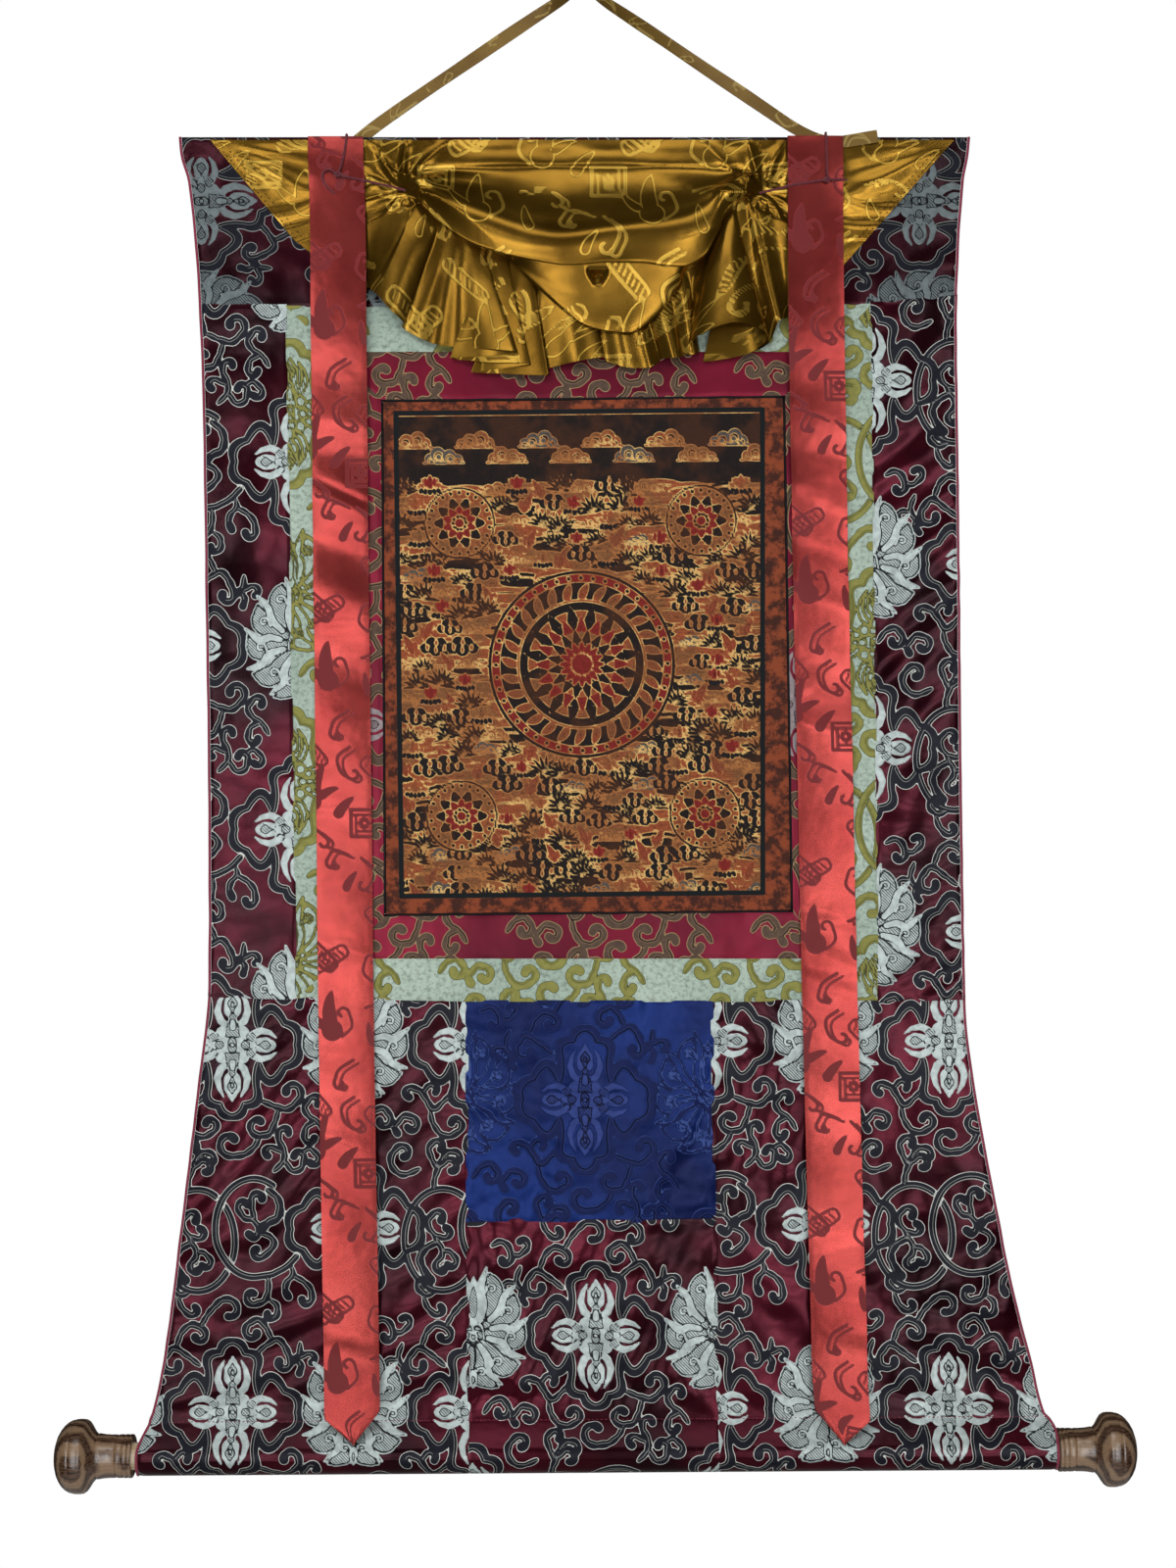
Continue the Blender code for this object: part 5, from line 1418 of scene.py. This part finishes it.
def swag_column(fold, first, last):
    """Down the strip and the hollow of the swag, over its front roll, back under, round the lobe
    and down the ruffle."""
    root_x, hem_x, hem_z, hem_forward = fold
    share = (root_x - first) / (last - first)
    top_x = -202 + 394 * share
    stand = max(math.sin(math.pi * share), 0.0) ** 0.6
    edge = follow(SWAG, root_x)
    lobe = min(follow(LOBE, root_x), edge) if LOBE[0][0] < root_x < LOBE[-1][0] else edge
    drop, fall = edge - lobe, STRIP_BOTTOM - edge
    low = 14 + SWAG_FORWARD * stand
    hollow = 0.62 * stand ** 1.1
    column = []
    for part, forward, height in (
            (0.0, VEIL_FORWARD, VEIL_TOP), (0.1, 2.6 + 3.0 * stand, VEIL_TOP - 12),
            (0.22, 4.0 + 3.4 * stand, STRIP_BOTTOM + 9), (0.3, 4.2 + 1.2 * stand, STRIP_BOTTOM + 2),
            (0.45, 5.5 + (low - 5.5) * 0.25, STRIP_BOTTOM - hollow * 0.4 * fall),
            (0.68, 5.5 + (low - 5.5) * 0.70, STRIP_BOTTOM - hollow * 0.85 * fall),
            (0.85, low - 1.5, STRIP_BOTTOM - (hollow + 0.16 * (1 - hollow)) * fall),
            (0.95, low + 0.6, STRIP_BOTTOM - (hollow + 0.55 * (1 - hollow)) * fall),
            (1.0, low - 0.8, edge + 2.0), (1.0, low - 3.4, edge - 0.2),
            (1.0, low - 4.5 - 3 * stand, edge + 5 + 4 * stand),
            (1.0, 10.2 + 9 * stand, edge + 4 - 0.5 * drop - (4 if drop > 1 else 0)),
            (1.0, 8.6 + 6 * stand, lobe + 1), (1.0, 6.6 + 0.4 * stand, edge + 6)):
        column.append((top_x + (root_x - top_x) * part, forward, height))
    for part in (0.30, 0.52, 0.76, 1.0):
        column.append((root_x + (hem_x - root_x) * part, 6.6 + (hem_forward - 6.6) * part ** 0.8,
                       edge + 6 + (hem_z - edge - 6) * part))
    return column


def finer(grid, parts, axis):
    """Fills in a net of points along one axis on smooth curves through them."""
    points = np.moveaxis(grid, axis, 0)
    ends = np.concatenate([2 * points[:1] - points[1:2], points, 2 * points[-1:] - points[-2:-1]])
    filled = []
    for k in range(len(points) - 1):
        count = parts[k] if hasattr(parts, "__len__") else parts
        filled += [between_points(*ends[k:k + 4], n / count) for n in range(count)]
    filled.append(points[-1])
    return np.moveaxis(np.array(filled), 0, axis)


first, last = RUFFLE[0][0] - 12, RUFFLE[-1][0] + 12
columns = [end_column(fold) for fold in LEFT_END] + [swag_column(fold, first, last) for fold in RUFFLE]
columns += [end_column(fold) for fold in RIGHT_END]
net = np.array(columns, float).transpose(1, 0, 2)
# Cloth is measured along its hem across, and down each fold
hem_steps, top_steps = (np.linalg.norm(np.diff(net[k], axis=0), axis=1) for k in (-1, 0))
across = np.concatenate([[0], np.cumsum(np.maximum(hem_steps, top_steps))])
fold_steps = np.linalg.norm(np.diff(net, axis=0), axis=2)
downward = np.concatenate([np.zeros((1, net.shape[1])), np.cumsum(fold_steps, axis=0)])
row_numbers = np.broadcast_to(np.arange(net.shape[0], dtype=float)[:, None], net.shape[:2])
net = np.dstack([net, np.broadcast_to(across, net.shape[:2]), downward, row_numbers])
net = finer(finer(net, 8, 1), (5, 5, 4, 4, 9, 10, 8, 8, 4, 4, 15, 7, 8, 6, 10, 13, 14), 0)
vx, vf, vz, vu, vv, row = (net[..., k] for k in range(6))


def ridge(turns):
    """Soft tops and sharp valleys, from -1 to 1."""
    return 1 - 2 * np.abs(np.sin(np.pi * turns)) ** 0.7


# Pleats run down from the ties and the swag; they are drawn out of the cloth along its own facing
middle = np.stack([vx, -vf, vz], axis=2)
facing = facing_of(middle)
wander = 1.5 * np.sin(vu / 31.0) + 0.8 * np.sin(vu / 13.0 + 1)
lift = 0.3 * np.sin(vu / 14.0 + wander * 2 + row) * ease((row - 13.4) / 1.2)
for tie_x, tie_z, lean, reach in ((-174, -200, 1, 70), (180, -202, -1, 70)):
    away = np.hypot(vx - tie_x, vz - tie_z)
    angle = np.arctan2(vz - tie_z, vx - tie_x)
    fan = ease((away - 4) / 14) * np.exp(-(away / reach) ** 2) * ease((12.5 - row) / 1.5)
    fan *= ease((262 - np.abs(vx)) / 14)
    lift += 2.4 * ridge(angle * 1.6 + 0.35 * lean + away / 190) * fan
for corner in (-374.0, 374.0):
    away = np.hypot(vx - corner, vz + 147)
    angle = np.degrees(np.arctan2(-147 - vz, np.abs(vx - corner)))
    drawn = ease((away - 25) / 60) * ease((np.abs(vx) - 236) / 20) * ease(12.6 - row) * (vx * corner > 0)
    for lean, wide, high in ((11, 5.0, 1.6), (26, 6.0, 3.0)):
        lift += high * drawn * np.exp(-((angle - lean) / wide) ** 2)
roll = ease((row - 4.6) / 1.2) * ease(9.2 - row)
lift += roll * (0.8 * np.sin(row * 2.2 + 1.1 * np.sin(vx / 38.0) + 0.2) + 0.3 * np.sin(vx / 17.0 + row * 1.3))
strip = ease((row - 0.3) / 0.8) * ease(4.2 - row)
lift += 0.8 * strip * np.sin(vx / 24.0 + 1.2 * np.sin(vx / 61.0)) * np.sin(row * 1.1)
lobe_part = ease((row - 10.4) / 0.6) * ease((12.4 - row) / 0.6)
lift += 0.6 * lobe_part * np.sin(vx / 15.0 + row * 2.0)
# A small hollow under the swag's middle, narrower further down
below = -279.0 - vz
aside = 14.0 - 0.7 * below - np.abs(vx - 15.0)
hollow = ease(below / 10.0) * ease((15.0 - below) / 2.0) * ease(aside / 3.0)
lift -= 12.0 * hollow * ease((row - 9.6) / 0.4)
lift *= ease(row / 0.5)
middle = middle + facing * lift[..., None]
vx, vf, vz = middle[..., 0], -middle[..., 1], middle[..., 2]
vf = np.maximum(vf, 1.7)
cloth_u = net[..., 0] + 0.4 * (vu - 480.0 - net[..., 0]) * ease((row - 13.0) / 4.0)
cloth_v = vv + (-120.0 - net[..., 2] - vv) * ease((row - 8.6) / 0.8)
veil = woven_piece("gold_veil", vx, vf, vz, 0.8, (cloth_u, -cloth_v),
                   {"motif": damask.read("motif", cloth_u / 1.5 + 18, cloth_v / 1.5 + 40)},
                   coarse=2, roll=0.8, sharp=85)
gold = damask_finish("gold_satin", colour(140, 104, 33), colour(112, 80, 20), colour(184, 147, 58),
                     colour(126, 94, 28), 0.24, 0.3, 0.85, "Line", 1.5, 0.1)
hand_over(veil, gold, "gold_satin", "veil")
# Cut on a slant at both ends, the sheet has less cloth than its width by its height
# Its two slanting edges are turned under and sewn down with two rows of dark stitches
brown_thread = thread_finish("brown_thread", colour(48, 32, 8), colour(84, 60, 20))
hems = [[(vx[k, column], vf[k, column] + 0.75, vz[k, column]) for k in range(4, 72)]
        for column in (1, 3, -2, -4)]
sewn("veil_hem_stitching", hems, brown_thread, "gold_satin",
     Spacing=0.0052, Stitch_Length=0.0019, Thread_Radius=0.0006)

# ----------------------------------------
# Two ribbons of red damask, cut as long strips and folded to a point at the foot. Fixed at the
# mount's top edge, they hang down over the veil.
# ----------------------------------------
# Each ribbon's height, middle and how far forward it hangs there
RIBBON_LEFT = ((-146.6, -240.5, 3.3), (-166, -240, 6.6), (-184, -239, 8.2), (-200, -238.5, 8.3),
               (-220, -238, 9.0), (-260, -237, 12.0), (-320, -236.5, 14.0), (-400, -236, 9.0),
               (-560, -235, 4.2), (-760, -232.5, 3.6), (-969, -230.3, 4.4), (-1180, -227, 7.0),
               (-1300, -224.5, 9.5), (-1352, -223.7, 12.5), (-1390, -223, 15.5))
RIBBON_RIGHT = ((-146.6, 227.0, 5.6), (-166, 227, 7.5), (-184, 227, 8.2), (-200, 227, 8.3),
                (-220, 227, 9.0), (-260, 227, 11.5), (-320, 227.3, 14.0), (-400, 229, 9.0),
                (-560, 232, 4.2), (-760, 236.5, 3.6), (-969, 240.9, 4.4), (-1180, 246, 7.0),
                (-1300, 249.3, 9.5), (-1352, 250.4, 12.5), (-1390, 252.5, 15.5))
RIBBON_HALF, RIBBON_TIP = 27.0, 28.0         # half a ribbon's width, and the height of its point
red = damask_finish("red_damask", colour(158, 60, 56), colour(136, 45, 43), colour(120, 30, 34),
                    colour(150, 30, 34), 0.26, 0.55, 0.75, "Motif", 3.2)
for side, table, lean, start, seed in (("left", RIBBON_LEFT, 4.0, (22.0, 96.0), 21),
                                       ("right", RIBBON_RIGHT, -6.0, (-46.0, 10.0), 22)):
    middle, stand = reader(table), reader(table, 2)
    s = np.linspace(-1, 1, 29)[None, :]
    t = np.linspace(0, 1, 641)[:, None]
    top, foot = table[0][0], table[-1][0]
    run = (top - foot + RIBBON_TIP) * t
    z = top - run + 0 * s
    past = np.clip((foot - z) / RIBBON_TIP, 0, 0.97)
    at = np.maximum(z, foot)
    x = middle(at) + RIBBON_HALF * s * (1 - past) + 1.5 * past
    z = z + lean * s * np.clip((-1340 - z) / 50, 0, 1) * (1 - past)
    forward = stand(at) + 0.5 * (1 - s * s) + 2.5 * past
    dice = np.random.default_rng(seed)
    for _ in range(16):
        level_at, slope, deep = dice.uniform(-1330, -420), dice.uniform(-0.5, 0.5), dice.uniform(-1.0, 1.0)
        crease = z - level_at - slope * RIBBON_HALF * s
        forward = forward + deep * np.exp(-(crease / dice.uniform(5, 16)) ** 2)
    wave = np.sin(z / 21.0 + 1.7 * np.sin(z / 83.0) + 0.7 * s) * (0.6 + 0.4 * np.sin(z / 130.0))
    forward = forward + (1.3 + 2.0 * wave) * ease((-z - 380) / 80) * ease((z + 1345) / 40)
    u = start[0] + RIBBON_HALF * s + 0 * z
    v = start[1] + run + 0 * s
    made = woven_piece(f"red_ribbon_{side}", x, forward, z, 1.0, (u, -v),
                       {"motif": damask.read("motif", u / 1.2, v / 1.2)}, roll=0.7)
    hand_over(made, red, "red_damask", f"ribbon_{side}")

# ----------------------------------------
# The ties: thin maroon cord of three twisted strands, sewn to the top edge and knotted over each
# ribbon. They gather the veil, and one end of the left one hangs loose in a bow.
# ----------------------------------------
TIE = 2.2
TIE_TWIST = 2.6              # radians of twist to a millimetre of cord
# Points along each tie: x, forward, z
TIES = {
    "tie_drop_left": ((-229.5, -2.2, -147.6), (-229.5, -1.9, -145.6), (-229.6, -0.6, -144.7),
                      (-229.6, 3.0, -144.7), (-229.7, 5.2, -145.6), (-229.8, 6.3, -149), (-230.4, 7.6, -156),
                      (-231.6, 9.2, -165), (-233.6, 10.4, -174), (-236.1, 12.0, -182.6)),
    "tie_drop_right": ((237.3, -2.2, -147.8), (237.3, -2.0, -145.4), (237.3, -0.4, -144.1),
                       (237.3, 2.6, -143.5), (237.3, 5.8, -143.6), (237.3, 7.9, -145.4), (237.3, 8.4, -149),
                       (237.4, 9.0, -156), (237.6, 10.1, -167), (237.8, 10.9, -178), (237.9, 12.2, -187.4)),
    "tie_bow_left": ((-240.6, 12.4, -184.2), (-243.5, 11.6, -181.8), (-247.6, 10.9, -181.0),
                     (-251.2, 10.7, -183.0), (-252.6, 10.4, -187.4), (-251.2, 9.9, -192.6),
                     (-248.0, 9.6, -197.2), (-244.2, 9.5, -201.0), (-240.6, 9.6, -204.0)),
    "tie_wrap_left": ((-234.0, 12.2, -187.0), (-226.0, 10.7, -188.6), (-216.0, 9.7, -190.4),
                      (-209.0, 8.9, -191.8), (-203.0, 7.8, -192.9), (-196.0, 7.4, -194.2),
                      (-186.0, 8.0, -196.6), (-178.0, 9.3, -199.2), (-172.0, 11.2, -201.4)),
    "tie_wrap_right": ((257.5, 7.2, -190.4), (256.0, 9.2, -190.2), (252.0, 10.2, -190.2),
                       (247.0, 10.6, -190.4), (241.5, 12.2, -190.8), (234.5, 12.2, -191.4),
                       (226.0, 10.8, -192.4), (216.0, 9.8, -193.8), (206.0, 9.4, -195.4),
                       (199.0, 9.0, -196.8), (192.0, 8.0, -198.4), (186.0, 8.2, -199.8),
                       (178.0, 9.5, -202.0), (172.5, 11.2, -203.8)),
}
# The middle of each knot: x, forward, z
KNOTS = {"left": (-237.5, 12.6, -186.0), "right": (238.0, 12.6, -191.0)}
twisted = Finish("maroon_cord", Roughness=0.55, Sheen_Weight=0.3)
parts = twisted.add("ShaderNodeSeparateXYZ", Vector=twisted.cloth()).outputs
wound = twisted.times(parts["Y"], 2600.0)
ply = twisted.math("SINE", twisted.math("MULTIPLY_ADD", parts["X"], 2 * math.pi * 3, wound))
# Darker between the strands and lighter on their crowns: painted shade and highlight
twisted.put(Base_Color=twisted.mix(twisted.between(ply, -1, 1), colour(70, 8, 24), colour(132, 22, 48)),
            Normal=twisted.bump(ply, 0.0002, 0.7))
for name, route in TIES.items():
    path = np.array(through(route, 0.8))
    made = cord_mesh(f"cord_{name}", path, TIE / 2 * 0.94, 12, TIE_TWIST)
    nodes = (name, "tie_back_right") if name == "tie_wrap_right" else (name,)
    hand_over(made, twisted.material, "maroon_cord", *nodes)
    length = float(np.linalg.norm(np.diff(path, axis=0), axis=1).sum()) * MM
    places = [(x * MM, -f * MM, z * MM) for x, f, z in path[::3]]
    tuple(places[0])
for side, (kx, kf, kz) in KNOTS.items():
    loops = []
    for k in range(121):
        a = 2 * math.pi * k / 40
        loops.append((kx + 1.9 * math.cos(a) + 0.5 * math.sin(2.33 * a), kf + 1.2 * math.sin(1.5 * a),
                      kz + 1.71 * math.sin(a)))
    hand_over(cord_mesh(f"knot_{side}", loops, 1.15, 12, TIE_TWIST), twisted.material, "maroon_cord",
              f"tie_knot_{side}")

# ----------------------------------------
# The hanging tape: a strip of the gold satin folded in three, tacked behind the top edge on the
# left and under the ribbon on the right, where its end is left loose. It turns over at the nail.
# ----------------------------------------
# Points along the tape, x, forward and z, with its turn in degrees about its own length
TAPE = ((-228, -1.8, -156, 0), (-216, -1.8, -146.5, 0), (-204, -1.8, -137, 0), (-191, -1.6, -127.5, 0),
        (-160, -1.2, -106, 4), (-120, -0.8, -79, 6), (-80, -0.4, -52, 9), (-45, -0.2, -28.5, 18),
        (-22, 0, -13.4, 42), (-9, 0, -4.6, 74), (-3.6, 0, -0.6, 90), (0, 0, 0.8, 90), (3.6, 0, -0.6, 90),
        (9, 0, -4.8, 80), (22, 0, -13.8, 62), (45, 0.3, -29, 46), (80, 0.8, -52.5, 34),
        (120, 1.5, -80, 22), (160, 2.6, -107, 10), (186, 3.5, -125, 3), (205, 3.9, -137.5, 0),
        (222, 3.9, -146.5, 0), (236, 3.9, -151.3, 0), (250, 3.9, -152.2, 0), (264, 3.9, -150.4, 0),
        (277, 3.8, -148.2, 0), (288, 3.8, -146.4, 0))
line = finer(np.array(TAPE, float), 8, 0)
path = np.stack([line[:, 0], -line[:, 1], line[:, 2]], axis=1)
ahead = np.gradient(path, axis=0)
ahead /= np.linalg.norm(ahead, axis=1, keepdims=True)
run = np.concatenate([[0], np.cumsum(np.linalg.norm(np.diff(path, axis=0), axis=1))])
TAPE_HALF = 5.8
edges = np.linspace(-1, 1, 13)
mid = []
for k, (place, along) in enumerate(zip(path, ahead)):
    face = np.array([0.0, -1.0, 0.0])
    face = face - along * face.dot(along)
    face = Matrix.Rotation(math.radians(line[k, 3]), 3, Vector(along)) @ Vector(face / np.linalg.norm(face))
    side = np.cross(along, face) * (TAPE_HALF + 0.25 * math.sin(run[k] / 23.0))
    mid.append([place + side * w + np.array(face) * (0.12 * math.sin(run[k] / 7 + 2 * w)) for w in edges])
mid = np.array(mid)
u = 20.0 + np.broadcast_to(6.0 * edges, mid.shape[:2])
v = np.broadcast_to(run[:, None], mid.shape[:2])
tape = woven_piece("satin_tape", mid[..., 0], -mid[..., 1], mid[..., 2], 1.3, (u, -v),
                   {"motif": damask.read("motif", u, v)}, roll=0.8)
tape_satin = damask_finish("tape_satin", colour(128, 100, 44), colour(104, 78, 30), colour(160, 134, 70),
                           colour(110, 84, 40), 0.45, 0.5, 0.3, "Line", 2.0)
hand_over(tape, tape_satin, "gold_tape", "hanging_tape")
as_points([tuple(p * MM) for p in path[::4]] + [tuple(path[-1] * MM)])

# ----------------------------------------
# The studio: a pale floor well below the mount, broad soft light from in front, tall panes that
# only shiny cloth shows, and a camera square on.
# ----------------------------------------
floor_mesh = bpy.data.meshes.new("floor")
work = bmesh.new()
bmesh.ops.create_circle(work, cap_ends=True, segments=96, radius=1.6)
work.transform(Matrix.Translation((0, 0, -2.3)))
work.to_mesh(floor_mesh)
work.free()
floor = placed("floor", floor_mesh)
pale = Finish("pale_floor", Base_Color=(0.86, 0.86, 0.85, 1), Roughness=0.8)
floor_mesh.materials.append(pale.material)

scene = bpy.context.scene
world = bpy.data.worlds.new("studio")
scene.world = world
world.use_nodes = True
sky = Finish("", world.node_tree)
back = world.node_tree.nodes["Background"]
back.inputs["Color"].default_value = (1, 1, 1, 1)
paths = sky.add("ShaderNodeLightPath").outputs
dim = sky.between(paths["Is Glossy Ray"], 0.0, 1.0, 0.15, 0.02)
sky.feed(back, "Strength", sky.math("MAXIMUM", paths["Is Camera Ray"], dim))
# Each light's place, the point it faces, width, height, watts, and if it is matt or mirrored light
LIGHTS = [("skylight", (-0.6, -1.9, 0.5), (0, 0, -1.0), 2.0, 0.6, 27.0, True, False),
          ("front", (0.5, -3.0, -1.9), (0, 0, -1.2), 2.4, 1.2, 34.0, True, False),
          ("lamp", (-0.3, -2.3, 2.0), (0, 0, -0.9), 2.4, 0.9, 20.0, False, True)]
# Two columns of panes, seen only in shiny cloth: how far aside, height, width, watts
PANES = ((1.35, 0.5, 0.8, 8.0), (1.0, -0.5, 1.2, 13.0), (1.0, -1.3, 1.2, 13.0), (1.0, -2.15, 1.2, 11.0))
for side in (-1, 1):
    for row, (aside, high, wide, power) in enumerate(PANES):
        LIGHTS.append((f"pane_{side}_{row}", (side * aside, -3.3, high), (side * aside, 0, high), wide, 0.45,
                       power, False, True))
for name, place, aim, wide, tall, power, soft, glossy in LIGHTS:
    light = bpy.data.lights.new(name, "AREA")
    light.shape = "RECTANGLE"
    light.size, light.size_y, light.energy = wide, tall, power
    lamp = placed(name, light)
    lamp.location = place
    lamp.rotation_euler = (Vector(aim) - Vector(place)).to_track_quat("-Z", "Y").to_euler()
    lamp.visible_diffuse, lamp.visible_glossy, lamp.visible_camera = soft, glossy, False

CAMERA = (5.7, -2200.0, -778.0)
SEEN_HEIGHT = 1531.2         # how much of the mount's own plane the picture shows
view = bpy.data.cameras.new("camera")
view.sensor_fit = "VERTICAL"
view.angle_y = 2 * math.atan(SEEN_HEIGHT / 2 / -CAMERA[1])
view.clip_start = 0.05
camera = placed("camera", view)
camera.location = [c * MM for c in CAMERA]
camera.rotation_euler = (math.radians(90), 0, 0)
scene.camera = camera
scene.view_settings.view_transform = "Standard"
